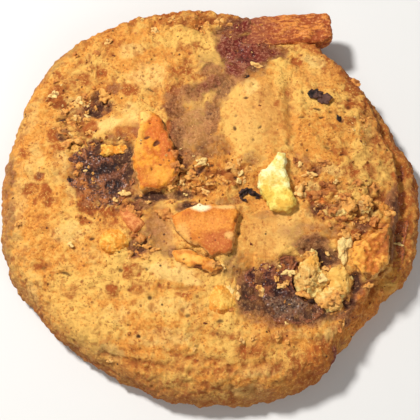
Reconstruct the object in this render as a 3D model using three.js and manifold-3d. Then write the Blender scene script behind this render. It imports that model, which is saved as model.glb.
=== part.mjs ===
// A strawberry cookie: a thick round of baked dough whose right-hand side has slumped into a
// low ledge. Jam fills bowls in its top and the groove above the ledge, a strip of baked fruit
// pastry sticks out at the back, and broken biscuit, cream and crumb lumps are pressed in.
// Millimetres, +Z up, origin in the middle of the flat underside. Angles are in degrees,
// anticlockwise from +X.

import * as THREE from 'three';
import { mergeVertices } from 'three/addons/utils/BufferGeometryUtils.js';
import Module from 'manifold-3d';

const wasm = await Module();
wasm.setup();

// Driving dimensions of the dough.
const RIM_HEIGHT = 11;
const CROWN_RISE = 4;
const LEDGE_LEVEL = 7.3;
const UNDERSIDE_RING = 0.5;
const SEGMENTS = 72;

// The room left between a piece and the pocket that it lies in.
const GAP = 0.3;

// Round the cookie: the radius of the widest part of the wall, as [angle, radius].
const FOOT = [
  [0, 44.3], [10, 43.8], [20, 41.8], [30, 41.6], [45, 40.5], [62, 41.4], [80, 41.2], [92, 42.6],
  [118, 43.8], [135, 45], [150, 44.3], [162, 42.8], [178, 43.4], [195, 44], [225, 42.2],
  [242, 41.7], [272, 42.8], [298, 43.9], [315, 40.9], [328, 41.5], [338, 44.6], [350, 44.2],
];

// How far the wall spreads outwards below the rim, as [angle, distance].
const SPREAD = [
  [0, 5.6], [30, 3.2], [50, 1.6], [90, 1.3], [135, 1.8], [180, 3], [215, 4.8], [250, 5.8],
  [290, 5.8], [315, 3.4], [330, 3.6], [345, 5.6],
];

// How much of the wall's section is the ledge's instead of the plain one, as [angle, share].
const LEDGE_SHARE = [[12, 1], [38, 0], [306, 0], [335, 1]];

// Sections of the wall from the rim down, as [share of the spread, share of the rim's height].
const PLAIN_WALL = [
  [0, 1], [0.32, 0.94], [0.6, 0.82], [0.82, 0.64], [0.95, 0.44], [1, 0.25], [0.93, 0.08], [0.74, 0],
];
const LEDGE_WALL = [
  [0, 1], [0.04, 0.82], [0.1, 0.66], [0.44, 0.67], [0.84, 0.57], [1, 0.34], [0.95, 0.08], [0.8, 0],
];

// Rings of the top from the rim inwards, as shares of the rim's radius.
const TOP_RINGS = [0.96, 0.9, 0.82, 0.73, 0.64, 0.54, 0.44, 0.33, 0.22, 0.11, 0];

// Swellings and hollows of the top: the middle, half sizes, turn and rise.
const RELIEF = [
  { at: [9.5, 16.5], half: [7, 9], turn: 0, rise: 1.5 },
  { at: [-2, 20], half: [5, 11], turn: 12, rise: -1.1 },
  { at: [-19.5, 16], half: [7, 3], turn: -4, rise: 0.9 },
  { at: [-24, 20], half: [4, 4], turn: 0, rise: -0.8 },
  { at: [-21.5, 2], half: [8, 6.5], turn: -20, rise: -1.4 },
  { at: [0, -1.5], half: [10, 3.5], turn: 0, rise: -0.9 },
  { at: [10.5, -10], half: [7, 5], turn: 30, rise: -0.7 },
  { at: [16, -21], half: [10, 6.5], turn: 0, rise: -1.5 },
  { at: [13, 34.5], half: [11, 5], turn: 5, rise: -1.8 },
  { at: [-10, -15], half: [9, 3], turn: -14, rise: 0.8 },
  { at: [-6, -29], half: [22, 5.5], turn: -4, rise: 0.9 },
  { at: [27, 17], half: [8, 10], turn: 0, rise: 0.7 },
  { at: [29, -3], half: [8, 6], turn: 0, rise: 0.5 },
];

// Section of a jam pool from its bottom up, as [share of its outline, height over the dough].
const POOL = [[0, -2.9], [0.55, -2.7], [0.86, -1.8], [1, -0.6], [0.97, 0.1], [0.62, 0.3], [0, 0.4]];
const POOL_SEGMENTS = 26;
const POOL_ROOM_RISE = 3;

// The jam in the ledge's groove, which has the same section: the angles that it runs between,
// how far its middle lies outside the rim, and half its width.
const SEAM = { from: -27, to: 15, middle: 1.5, halfWidth: 1.5 };

// The worn edge of a broken biscuit. A crumb lump's unevenness: its depth as a share of the
// radius, the fineness of its mesh, and the waves along and across it.
const CHIP_EDGE = 0.6;
const LUMP_DEPTH = 0.14;
const LUMP_DETAIL = 2;
const LUMP_WAVES = [3.3, 3.7];

// The strip of fruit pastry at the back.
const STRIP = { at: [16.2, 36.9, 8.4], length: 21, width: 7.4, thick: 4.4, turn: 4, dip: -4 };
const STRIP_CORNER = 2;
const STRIP_EDGE = 0.9;

// Points closer than this are one point.
const WELD = 1e-4;

const rad = THREE.MathUtils.degToRad;

// A value that changes round the cookie, eased from one [angle, value] stop to the next.
function around(stops, angle) {
  const turned = THREE.MathUtils.euclideanModulo(angle - stops[0][0], 360) + stops[0][0];
  const last = stops.findLastIndex(([at]) => at <= turned);
  const [fromAngle, fromValue] = stops[last];
  const [toAngle, toValue] = stops[last + 1] ?? [stops[0][0] + 360, stops[0][1]];
  const step = THREE.MathUtils.smoothstep(turned, fromAngle, toAngle);
  return THREE.MathUtils.lerp(fromValue, toValue, step);
}

function rimRadius(angle) {
  return around(FOOT, angle) - around(SPREAD, angle);
}

// The height of the dough's top over the underside.
function topHeight(x, y) {
  const angle = THREE.MathUtils.radToDeg(Math.atan2(y, x));
  const share = Math.hypot(x, y) / rimRadius(angle);
  let height = RIM_HEIGHT + CROWN_RISE * (1 - share * share);
  for (const { at, half, turn, rise } of RELIEF) {
    const offset = new THREE.Vector2(x - at[0], y - at[1]);
    offset.rotateAround(new THREE.Vector2(), -rad(turn));
    height += rise * Math.exp(-((offset.x / half[0]) ** 2) - (offset.y / half[1]) ** 2);
  }
  return height;
}

// A closed skin of rings: place(row, angle) gives the points of each ring, and the first and
// the last row are single points.
function skin(rows, segments, place) {
  const profile = Array.from({ length: rows }, (_, row) => {
    const isPole = row === 0 || row === rows - 1;
    return new THREE.Vector2(isPole ? 0 : 1, row);
  });
  const geometry = new THREE.LatheGeometry(profile, segments);
  geometry.rotateX(Math.PI / 2);
  const position = geometry.attributes.position;
  for (let i = 0; i < position.count; i++) {
    const row = Math.round(position.getZ(i));
    const angle = THREE.MathUtils.radToDeg(Math.atan2(position.getY(i), position.getX(i)));
    position.setXYZ(i, ...place(row, angle));
  }
  return geometry;
}

function polar(radius, angle, height) {
  return [radius * Math.cos(rad(angle)), radius * Math.sin(rad(angle)), height];
}

// The dough's rings run from the middle of the underside, up the wall and in over the top.
function doughGeometry() {
  const wall = PLAIN_WALL.length;
  const rows = 2 + wall + TOP_RINGS.length;
  return skin(rows, SEGMENTS, (row, angle) => {
    const rim = rimRadius(angle);
    if (row < 2) return polar(rim * UNDERSIDE_RING * row, angle, 0);
    if (row < 2 + wall) {
      const index = wall + 1 - row;
      const share = around(LEDGE_SHARE, angle);
      const out = THREE.MathUtils.lerp(PLAIN_WALL[index][0], LEDGE_WALL[index][0], share);
      const up = THREE.MathUtils.lerp(PLAIN_WALL[index][1], LEDGE_WALL[index][1], share);
      const [x, y] = polar(rim, angle, 0);
      return polar(rim + out * around(SPREAD, angle), angle, up * topHeight(x, y));
    }
    const [x, y] = polar(rim * TOP_RINGS[row - 2 - wall], angle, 0);
    return [x, y, topHeight(x, y)];
  });
}

// A pool of jam in a bowl of the dough: its middle, and its reach round that as [angle, radius].
function poolGeometry({ at, reach }, grow) {
  return skin(POOL.length, POOL_SEGMENTS, (row, angle) => {
    const [share, over] = POOL[row];
    const radius = share * (around(reach, angle) + grow);
    const [x, y] = polar(radius, angle, 0);
    const rise = over > 0 && grow > 0 ? POOL_ROOM_RISE : Math.sign(over) * grow;
    return [at[0] + x, at[1] + y, topHeight(at[0] + x, at[1] + y) + over + rise];
  });
}

// Jam squeezed out along the groove between the top and the ledge: a pool bent round the rim.
function seamGeometry(grow) {
  const middle = (SEAM.from + SEAM.to) / 2;
  return skin(POOL.length, POOL_SEGMENTS, (row, angle) => {
    const [share, over] = POOL[row];
    const [u, v] = polar(share, angle, 0);
    const round = THREE.MathUtils.radToDeg(grow / rimRadius(middle));
    const along = middle - u * (SEAM.to - middle + round);
    const radius = rimRadius(along) + SEAM.middle + v * (SEAM.halfWidth + grow);
    const rise = over > 0 && grow > 0 ? POOL_ROOM_RISE : Math.sign(over) * grow;
    return polar(radius, along, LEDGE_LEVEL + over + rise);
  });
}

// A broken flat bit of biscuit: its outline in plan, thickness, lift over the dough and tilt.
function chipGeometry({ outline, thick, lift, tilt }, grow) {
  const points = outline.map(([x, y]) => new THREE.Vector2(x, y));
  const middle = points.reduce((sum, point) => sum.clone().add(point)).divideScalar(points.length);
  const shape = new THREE.Shape(points.map((point) => point.clone().sub(middle)));
  const depth = thick + 2 * grow - 2 * CHIP_EDGE;
  const geometry = new THREE.ExtrudeGeometry(shape, {
    depth,
    bevelThickness: CHIP_EDGE,
    bevelSize: CHIP_EDGE,
    bevelOffset: grow - CHIP_EDGE,
    bevelSegments: 1,
  });
  geometry.translate(0, 0, -depth / 2);
  geometry.rotateX(rad(tilt[0]));
  geometry.rotateY(rad(tilt[1]));
  const height = topHeight(middle.x, middle.y) + lift - thick / 2;
  geometry.translate(middle.x, middle.y, height);
  return geometry;
}

// A rounded crumb lump: its middle, half sizes, turn and lift of its top over the dough.
function lumpGeometry({ at, half, turn, lift }, grow) {
  const geometry = new THREE.IcosahedronGeometry(1, LUMP_DETAIL);
  const position = geometry.attributes.position;
  const point = new THREE.Vector3();
  for (let i = 0; i < position.count; i++) {
    point.fromBufferAttribute(position, i);
    const wave = Math.sin(LUMP_WAVES[0] * point.x + at[0]);
    const cross = Math.cos(LUMP_WAVES[1] * point.y + at[1] + point.z);
    const swell = 1 + (LUMP_DEPTH * (wave + cross)) / 2;
    position.setXYZ(i, ...half.map((size, axis) => {
      return point.getComponent(axis) * (size * swell + grow);
    }));
  }
  geometry.rotateZ(rad(turn));
  geometry.translate(at[0], at[1], topHeight(...at) + lift - half[2]);
  return geometry;
}

// The fruit pastry strip: a flat bar with round corners and worn edges.
function stripGeometry(grow) {
  const x = STRIP.length / 2 - STRIP_CORNER;
  const y = STRIP.width / 2 - STRIP_CORNER;
  const shape = new THREE.Shape();
  shape.absarc(x, y, STRIP_CORNER, 0, Math.PI / 2);
  shape.absarc(-x, y, STRIP_CORNER, Math.PI / 2, Math.PI);
  shape.absarc(-x, -y, STRIP_CORNER, Math.PI, 1.5 * Math.PI);
  shape.absarc(x, -y, STRIP_CORNER, 1.5 * Math.PI, 2 * Math.PI);
  const depth = STRIP.thick + 2 * grow - 2 * STRIP_EDGE;
  const geometry = new THREE.ExtrudeGeometry(shape, {
    depth,
    bevelThickness: STRIP_EDGE,
    bevelSize: STRIP_EDGE,
    bevelOffset: grow - STRIP_EDGE,
    bevelSegments: 2,
    curveSegments: 4,
  });
  geometry.translate(0, 0, -depth / 2);
  geometry.rotateX(rad(STRIP.dip));
  geometry.rotateZ(rad(STRIP.turn));
  geometry.translate(...STRIP.at);
  return geometry;
}

// A closed mesh as a solid that can be cut. Faces that collapse at a pole are dropped.
function toSolid(geometry) {
  geometry.deleteAttribute('normal');
  geometry.deleteAttribute('uv');
  const merged = mergeVertices(geometry, WELD);
  const corners = merged.index.array;
  const faces = [];
  for (let i = 0; i < corners.length; i += 3) {
    const face = Array.from(corners.slice(i, i + 3));
    if (new Set(face).size === 3) faces.push(...face);
  }
  return new wasm.Manifold(new wasm.Mesh({
    numProp: 3,
    vertProperties: new Float32Array(merged.attributes.position.array),
    triVerts: new Uint32Array(faces),
  }));
}

// A solid as a named mesh, placed at the middle of its box.
function toMesh(name, solid, look) {
  const { vertProperties, triVerts } = solid.getMesh();
  const geometry = new THREE.BufferGeometry();
  geometry.setAttribute('position', new THREE.BufferAttribute(vertProperties, 3));
  geometry.setIndex(new THREE.BufferAttribute(triVerts, 1));
  geometry.computeVertexNormals();
  geometry.computeBoundingBox();
  const middle = geometry.boundingBox.getCenter(new THREE.Vector3());
  geometry.translate(-middle.x, -middle.y, -middle.z);
  const mesh = new THREE.Mesh(geometry, new THREE.MeshStandardMaterial(look));
  mesh.name = name;
  mesh.position.copy(middle);
  return mesh;
}

const LOOKS = {
  dough: { color: '#d49a58', roughness: 0.85, metalness: 0 },
  jam: { color: '#6b2c2a', roughness: 0.35, metalness: 0 },
  strip: { color: '#c2703a', roughness: 0.6, metalness: 0 },
  biscuit: { color: '#e08a3c', roughness: 0.8, metalness: 0 },
  crumb: { color: '#e6b468', roughness: 0.9, metalness: 0 },
  cream: { color: '#f5e28a', roughness: 0.8, metalness: 0 },
  flake: { color: '#d9836a', roughness: 0.7, metalness: 0 },
};

// Broken biscuit and the other flat bits.
const CHIPS = {
  biscuit_tall: {
    look: 'biscuit', thick: 5, lift: 1.6, tilt: [3, -4],
    outline: [[-13.6, 15.9], [-10, 14.9], [-7.5, 9.2], [-5.8, 3.1], [-7.4, 0.1], [-9.8, -1.1],
      [-13.6, -1.1], [-15.6, 5.4], [-14.1, 12.1]],
  },
  biscuit_centre: {
    look: 'biscuit', thick: 5, lift: 1.5, tilt: [5, 2],
    outline: [[-7.7, -6.8], [-2.1, -4.2], [5.2, -4.6], [6, -5.8], [4.6, -14], [0.6, -14.8],
      [-1.7, -12.8], [-4.3, -12.2], [-6.5, -9.9]],
  },
  biscuit_slab: {
    look: 'biscuit', thick: 4, lift: 0.9, tilt: [-6, 3],
    outline: [[-7.3, -13.8], [-4.5, -13.5], [2, -16], [2.8, -17.6], [0.6, -18.4], [-6.5, -16.4]],
  },
  biscuit_right: {
    look: 'biscuit', thick: 4.6, lift: 1.2, tilt: [2, 5],
    outline: [[36.1, -7.6], [35.8, -15.2], [32.7, -18.6], [30.1, -17.5], [28.1, -14.7],
      [28.8, -11.8], [32.3, -10]],
  },
  cream_chunk: {
    look: 'cream', thick: 5.6, lift: 2.2, tilt: [6, -5],
    outline: [[14.3, 6.9], [15.7, 5.9], [15.8, 2], [17.7, -4.3], [15.9, -5.7], [12.6, -5.3],
      [10.3, -1.1], [9.9, 1.4], [12.4, 4]],
  },
  pink_flake: {
    look: 'flake', thick: 3.4, lift: 1, tilt: [-8, 4],
    outline: [[-18, -5.4], [-16.2, -4], [-12.5, -8.4], [-14.9, -10.2], [-16.5, -8.5]],
  },
};

// Crumb lumps and nuggets.
const LUMPS = {
  nugget_left: { look: 'crumb', at: [-18.6, -11.6], half: [3.2, 2.9, 2.6], turn: 30, lift: 1.3 },
  nugget_front: { look: 'crumb', at: [2.5, -23], half: [3.7, 3.3, 2.8], turn: 10, lift: 1.2 },
  crumb_lump: { look: 'crumb', at: [19.7, -17.5], half: [3, 5, 3], turn: -10, lift: 2 },
  crumb_edge: { look: 'crumb', at: [25, -20.9], half: [2.9, 5, 2.8], turn: -35, lift: 1.2 },
  crumb_right: { look: 'crumb', at: [25.6, -3.6], half: [4.2, 3.4, 2.6], turn: -15, lift: 1 },
};

// Pools of jam in the top.
const POOLS = {
  jam_left: {
    at: [-21.8, 2],
    reach: [[10, 7.4], [45, 7], [80, 6.3], [115, 8], [145, 8.8], [175, 7.8], [215, 4.6],
      [250, 6.2], [285, 7.3], [330, 6.4]],
  },
  jam_right: {
    at: [15.6, -21.2],
    reach: [[0, 9.2], [40, 7.9], [80, 7.2], [120, 6.6], [155, 9], [200, 8.7], [235, 7.4],
      [270, 6.7], [320, 8.2]],
  },
  jam_top: {
    at: [8.3, 31.2],
    reach: [[0, 4.6], [35, 8.4], [60, 5.6], [110, 5.4], [145, 7], [190, 4.9], [225, 6.6],
      [245, 8], [275, 5.8], [320, 3]],
  },
};

// Each piece is cut back from the pieces laid before it, and keeps a room of its own.
const pieces = [];
function lay(name, look, make) {
  const solid = pieces.reduce((rest, other) => rest.subtract(other.room), toSolid(make(0)));
  pieces.push({ name, look: LOOKS[look], solid, room: toSolid(make(GAP)) });
}

lay('fruit_strip', 'strip', stripGeometry);
for (const [name, chip] of Object.entries(CHIPS)) {
  lay(name, chip.look, (grow) => chipGeometry(chip, grow));
}
for (const [name, lump] of Object.entries(LUMPS)) {
  lay(name, lump.look, (grow) => lumpGeometry(lump, grow));
}
for (const [name, pool] of Object.entries(POOLS)) {
  lay(name, 'jam', (grow) => poolGeometry(pool, grow));
}
lay('jam_seam', 'jam', seamGeometry);
lay('dough', 'dough', doughGeometry);

const cookie = new THREE.Group();
for (const { name, look, solid } of pieces) cookie.add(toMesh(name, solid, look));

export default cookie;
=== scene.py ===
import math
import random

import bmesh
import bpy
import numpy as np
from mathutils import Matrix, Vector, noise
from mathutils.bvhtree import BVHTree


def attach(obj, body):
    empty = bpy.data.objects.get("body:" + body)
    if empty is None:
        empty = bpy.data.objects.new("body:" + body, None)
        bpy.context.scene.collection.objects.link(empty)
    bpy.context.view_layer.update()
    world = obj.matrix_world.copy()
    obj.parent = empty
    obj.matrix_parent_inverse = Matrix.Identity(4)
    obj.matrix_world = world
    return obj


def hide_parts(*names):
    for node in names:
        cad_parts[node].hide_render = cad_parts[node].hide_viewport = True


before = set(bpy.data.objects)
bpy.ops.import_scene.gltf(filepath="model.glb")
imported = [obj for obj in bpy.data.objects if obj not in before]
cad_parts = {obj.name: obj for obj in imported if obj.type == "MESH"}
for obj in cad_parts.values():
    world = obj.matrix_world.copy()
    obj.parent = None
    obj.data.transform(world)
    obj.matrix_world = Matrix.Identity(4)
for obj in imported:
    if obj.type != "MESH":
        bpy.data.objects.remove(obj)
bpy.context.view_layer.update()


# ---------------------------------------------------------------------------------------------
# The dough: one thick round of soft-baked cookie, domed and browned, slumped into a low ledge
# on its right. Its crumb is coarse where it tore open in the oven and smooth where butter and
# jam soaked it. It carries every other piece. Modelled in millimetres, scaled at the end.

MM = 0.001
RIM_HEIGHT = 11
CROWN_RISE = 4

# Radius of the wall's widest part, its spread under the rim, and the ledge's share of its
# section, each as (angle, value) stops round the cookie.
FOOT = [
    (0, 44.3), (10, 43.8), (20, 41.8), (30, 41.6), (45, 40.5), (62, 41.4), (80, 41.2), (92, 42.6),
    (118, 43.8), (135, 45), (150, 44.3), (162, 42.8), (178, 43.4), (195, 44), (225, 42.2),
    (242, 41.7), (272, 42.8), (298, 43.9), (315, 40.9), (328, 41.5), (338, 44.6), (350, 44.2),
]
SPREAD = [
    (0, 5.6), (30, 3.2), (50, 1.6), (90, 1.3), (135, 1.8), (180, 3), (215, 4.8), (250, 5.8),
    (290, 5.8), (315, 3.4), (330, 3.6), (345, 5.6),
]
LEDGE_SHARE = [(12, 1), (38, 0), (306, 0), (335, 1)]

# Sections of the wall from the rim down: (share of the spread, share of the rim's height).
PLAIN_WALL = [
    (0, 1), (0.32, 0.94), (0.6, 0.82), (0.82, 0.64), (0.95, 0.44), (1, 0.25), (0.93, 0.08),
    (0.74, 0),
]
LEDGE_WALL = [
    (0, 1), (0.04, 0.82), (0.1, 0.66), (0.44, 0.67), (0.84, 0.57), (1, 0.34), (0.95, 0.08),
    (0.8, 0),
]

# Swellings and hollows of the top: middle x and y, half sizes, turn, rise.
RELIEF = [
    (9.5, 16.5, 7, 9, 0, 1.5), (-2, 20, 5, 11, 12, -1.1), (-19.5, 15.4, 7, 3, -4, 0.9),
    (-24, 20, 4, 4, 0, -0.8), (-21.5, 2, 8, 6.5, -20, -1.4), (0, -1.5, 10, 3.5, 0, -0.9),
    (10.5, -10, 7, 5, 30, -0.7), (16, -21, 10, 6.5, 0, -1.5), (13, 34.5, 11, 5, 5, -1.8),
    (-10, -15, 9, 3, -14, 0.8), (-6, -29, 22, 5.5, -4, 0.9), (27, 17, 8, 10, 0, 0.7),
    (29, -3, 8, 6, 0, 0.5),
]

# Finer forms of the crust: the same six numbers, steeper.
TEARS = [
    (-22.4, 18.2, 2.6, 1.2, 0, -0.8), (-25.3, 16, 1.4, 1.1, 0, -0.7),
    (-30.6, 11.6, 1.3, 1.3, 0, -0.6), (-29, 14, 4, 3, 0, -0.4), (-21.5, 2, 5, 4, -20, -0.7),
    (16, -21.5, 6.5, 4, 0, -0.7), (7.5, 30, 3.4, 3, 20, -0.6), (-16.6, 13, 7, 2, 4, 0.8),
    (-11.5, -2.4, 3.6, 1, -4, -0.8), (-5.5, -2, 2.5, 1, 0, -0.6), (-4.5, -4.4, 1.6, 1, 0, -0.5),
    (-9.8, -10, 2.6, 4.5, 0, -0.7), (24, -1.5, 6, 5, -10, 0.5), (29.3, -19.5, 1.3, 3, -10, -1),
    (27, -25.5, 2.4, 1.6, 40, -0.6), (17.2, 16, 1, 9, 4, -0.65), (-8, -17.6, 5, 1.6, -10, 0.7),
    (22, -27, 5, 1.6, 25, -0.1), (15.6, -15.6, 1.5, 1, 0, -1.1), (22.4, -13.6, 1.8, 1.4, -40, -1),
    (24, -15.5, 1.4, 1.4, 0, -0.6), (21.2, 3.4, 1.6, 0.7, 15, -0.6), (23, -4.9, 1.8, 0.8, 0, -0.6),
    (-5, 4.6, 1.2, 1, 0, -0.6), (36.4, -13, 1.6, 3, -10, -0.6), (-6.8, 16.5, 1.8, 2.6, 0, -0.4),
    (0.2, 14, 1.4, 2, 0, -0.4), (14.8, -21.8, 1.6, 1, 0, -0.6), (-13.6, -13, 1.8, 1.2, 0, -0.6),
    (-20.8, -12.6, 0.8, 1.6, 40, -0.5), (16.6, -30, 7, 1.3, 4, 0.65), (-24.4, 16.6, 2, 1, 0, -0.5),
    (-28.6, 6.6, 1.2, 1, 0, -0.4),
]

# Grooves and cracks: a route over the top, width, depth.
CRACKS = [
    ([(27.5, 8.6), (28.9, 6.4), (30.7, 4.3)], 0.22, 0.7),
    ([(16.6, 10), (16.8, 8.6), (18, 7)], 0.35, 0.5),
    ([(-21, -33.4), (-16.5, -34.9), (-12, -36.6)], 0.5, 0.55),
    ([(-13.5, -35.2), (-8, -36.7), (-3, -37.4)], 0.5, 0.4),
    ([(-5, -39.2), (2, -40.4), (9, -40.4)], 0.6, 0.35),
    ([(-9, -33.6), (-2, -35), (3, -35)], 0.6, 0.35),
    ([(4, -36.4), (9, -35.6), (14, -36.8)], 0.6, 0.45),
    ([(-8, -21), (-5.5, -21.4), (-2.5, -21)], 0.3, 0.5),
    ([(-6.4, -13.6), (-3.6, -13.5), (-0.8, -14.6), (1.6, -16)], 0.35, 0.9),
    ([(27.9, -12), (29.2, -11), (31.2, -9.3)], 0.35, 0.9),
    ([(6.8, -4.6), (6.9, -6.6)], 0.3, 0.6),
    ([(-31.6, 15.6), (-30.6, 15.2), (-29.8, 15.8)], 0.3, 0.7),
]

# Where the crust has each look: middle x and y, half sizes, turn, strength. Ambered is syrupy
# orange, the jam stain look is soaked with jam but some of its rows are painted shade, and reddened
# has red jam in it.
CRUMBLY = [
    (-24, 18.5, 4.5, 3.6, 0, 1), (-28.5, 15, 3.4, 5, 0, 0.9), (-27, 9.5, 3.4, 2.6, 0, 0.9),
    (-3, 1.6, 6.5, 4, 0, 1), (4.6, 1.6, 4.6, 3.4, 0, 0.65), (23, 0.6, 5.4, 3, -10, 0.6),
    (26.5, -4.5, 6, 3.6, 0, 1), (33, -3.5, 4.4, 5.5, 0, 1), (20, -18, 5, 5.5, 0, 0.9),
    (25.5, -21, 4, 5, 20, 0.9), (-24, 29, 7, 3, 35, 0.35), (-31.5, 20.5, 3, 2.6, 0, 0.8),
    (-14, -12.5, 2.6, 2.6, 0, 0.9), (-2, 38, 10, 2.6, 0, 0.7), (32, 12, 3, 8, 10, 0.5),
    (-16, -4.5, 3, 2.6, 0, 0.9), (-20, 9.6, 5, 1.6, 0, 0.8), (-6, 3, 2.4, 4.5, 0, 0.9),
    (14.6, -17.6, 2.4, 2, 0, 1), (32.5, -19, 4, 2.4, 30, 0.8), (-24, 3, 5, 3, -30, 0.8),
    (27, -27.5, 3, 2, 40, 0.6), (10.5, 33.5, 6, 1.6, 0, 0.6), (-23.4, -4.4, 4.4, 1.7, -14, 0.8),
]
SMOOTH = [
    (9.6, 15.5, 6.6, 8.6, 0, 1), (13, -9.5, 7, 5, 20, 1), (-16.4, 13, 7, 2.2, 4, 1),
    (-2.8, 12.6, 4, 5, 0, 0.9), (-9.6, -10, 3.2, 5, 0, 0.9), (17, 4, 3, 4, 0, 0.5),
    (-7, -18, 6, 1.8, -10, 0.8), (22, 25, 4, 3, 0, 0.5), (-13, 24.5, 5, 4, 0, 0.4),
    (19, -7.5, 5, 2, 0, 0.8),
]
BROWNED = [
    (-34.7, 2.4, 1.6, 0.9, -20, 1), (-33.2, -0.8, 1.2, 1.8, 0, 1), (-32.4, -3.2, 1.1, 0.9, 0, 0.8),
    (-36.1, -1, 1.1, 0.8, 0, 0.7), (-35.2, -3, 0.8, 0.9, 0, 0.8), (-33.9, -5.9, 2.2, 0.6, 5, 0.7),
    (-33, -8.3, 1.4, 0.6, 0, 0.7), (-28.4, -6.2, 1.4, 0.7, 0, 0.5),
    (-25.2, -1.4, 2.6, 1.4, -30, 1), (-24, -4, 2.8, 1.2, -10, 1), (-24.8, -7.2, 1.6, 0.7, 0, 0.8),
    (-21.2, -4.8, 2.6, 0.9, 0, 1), (-33.6, -16.3, 1, 1.1, 0, 0.7), (-36.5, -13, 2, 1, 0, 0.5),
    (-19, -21, 1.6, 1.6, 0, 0.8), (-14, -17.5, 1.4, 1.6, 0, 0.6), (-32.2, 20.8, 2.4, 2, 0, 1),
    (-31.2, 18.9, 1.4, 0.9, 0, 0.9), (-32.2, 12, 1.6, 1.8, 0, 0.9), (-31, 8.5, 1.8, 1.4, 0, 0.7),
    (-27.5, 23.8, 3.6, 1.6, 10, 0.7), (-31.3, 25.3, 1.2, 1.2, 0, 0.6),
    (-22.6, 25.6, 1.4, 1.2, 0, 0.9), (-24.5, 26.5, 3, 1, 20, 0.6), (-21, 32, 1.4, 2.2, 0, 0.5),
    (-26, 29, 2.4, 1.2, 30, 0.5), (-17, 22, 2.6, 1, 0, 0.5), (-7, 23, 1.6, 4, 0, 0.7),
    (-4, 26, 3, 3.6, 0, 0.5), (-4, 31.5, 4, 1.4, 0, 0.6), (-12.5, 28.2, 2, 0.8, 0, 0.4),
    (11.6, 19.6, 1.8, 0.9, 0, 0.6), (14.2, 17.6, 0.9, 1.3, 0, 0.8), (18.6, 28.4, 1.4, 1.6, 0, 0.8),
    (21.5, 24.6, 1.8, 0.5, 15, 0.6), (29.4, 18.6, 1, 2, 0, 0.9), (30.5, 22, 1.6, 3, 10, 0.6),
    (25.5, 13, 3, 1, -10, 0.5), (29.3, 14.5, 1.4, 1.4, 0, 0.8), (32.6, 17.4, 2, 3, 0, 0.6),
    (27, 8, 2.4, 1.2, 0, 0.5), (35, 8, 2, 5, 0, 0.35), (21.4, -2.4, 2.4, 1.4, 0, 0.7),
    (24, 0, 2, 1.4, -30, 0.6), (29.6, -7, 3.4, 1, 0, 0.7), (20, 4.6, 3, 1.2, 0, 0.5),
    (34.5, -6.6, 2.6, 2, 0, 0.3), (30.4, -9.2, 2.4, 0.7, 20, 0.9), (31.6, -21.4, 1.8, 1, 30, 0.25),
    (33.4, -19.6, 1.6, 0.9, 20, 0.4), (29, -25.6, 2.6, 1, 50, 0.9),
    (26.4, -29.6, 5, 1.4, 42, 0.15), (5, -36.2, 3, 0.5, -8, 0.5), (-5, -22.4, 2.2, 0.6, 0, 0.8),
    (-8.8, -21, 1.4, 0.5, 0, 0.5), (-14.6, -4.6, 2.4, 2, 0, 0.7), (4.6, 2.4, 3.4, 2, 0, 0.4),
    (-7, 3, 2, 4, 0, 0.5), (-3, 28, 2, 1.6, 0, 0.4), (13.6, 10.8, 1.4, 0.8, 0, 0.6),
    (6.8, 11.6, 1.2, 0.6, 0, 0.5), (-6, 38.5, 7, 1.6, 0, 0.6), (8, 37, 5, 1.4, 0, 0.5),
    (-10, -30, 1.2, 1.4, 0, 0.4), (-2, -28.6, 1.6, 1, 0, 0.4), (-38.8, 8, 0.9, 1.6, 0, 0.9),
    (4, -30.4, 4, 1, 0, 0.4), (4, -37.6, 5, 1.2, 0, 0.85), (13, -30.6, 4, 1.2, 0, 0.5),
    (-4, -35, 8, 0.8, 0, 0.4), (-15.5, -17.5, 1.8, 1.6, 0, 0.7), (-13.5, -21.4, 3, 1.4, 0, 0.55),
    (-16.4, 21.4, 2.4, 2, 0, 0.75), (-20.6, 21.6, 2, 2, 0, 0.65), (8, -33.4, 3.6, 1.6, 0, 0.7),
    (15.8, -33.2, 2.6, 1.4, 0, 0.5), (-7.7, -14.2, 1.8, 1.2, 0, 0.5),
    (-27.4, -21.4, 2, 1.6, 0, 0.5), (-36.4, -0.2, 1.6, 2, 0, 0.5), (-11.9, -9, 1.2, 2.6, 0, 0.5),
    (25.5, 26.6, 2.2, 1.6, 0, 0.6), (32.9, 4, 1.8, 1.8, 0, 0.6), (24.2, -5.2, 2.4, 1.6, 0, 0.9),
    (-16, 11.4, 3, 1.2, 4, 0.9), (-15.9, -1, 1.4, 1.6, 0, 0.6), (28.8, 3.8, 1.8, 1.8, 0, 0.6),
    (-24.4, 12.6, 2, 1.6, 0, 0.8), (-19.8, -7.6, 2, 2.2, 0, 0.5), (-23.3, -29.2, 2, 1.6, 0, 0.4),
    (27.8, -26.6, 2, 0.8, 45, 0.8), (0.2, -17.8, 2, 1, 0, 0.8), (37.4, 8.7, 2, 2.6, 0, 0.6),
    (-19.8, -5.6, 2.4, 1.4, 0, 0.8), (-24.4, 8.2, 1.6, 1.2, 0, 0.6), (-24.6, 17.6, 2, 1.4, 0, 0.9),
    (-7.9, 12, 1.2, 2.6, 0, 0.9), (-8, 16.5, 1.4, 1.8, 0, 0.6), (16.9, 19, 1.4, 5, 0, 0.55),
    (-12, 21, 1.4, 1.2, 0, 0.5),
]
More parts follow.
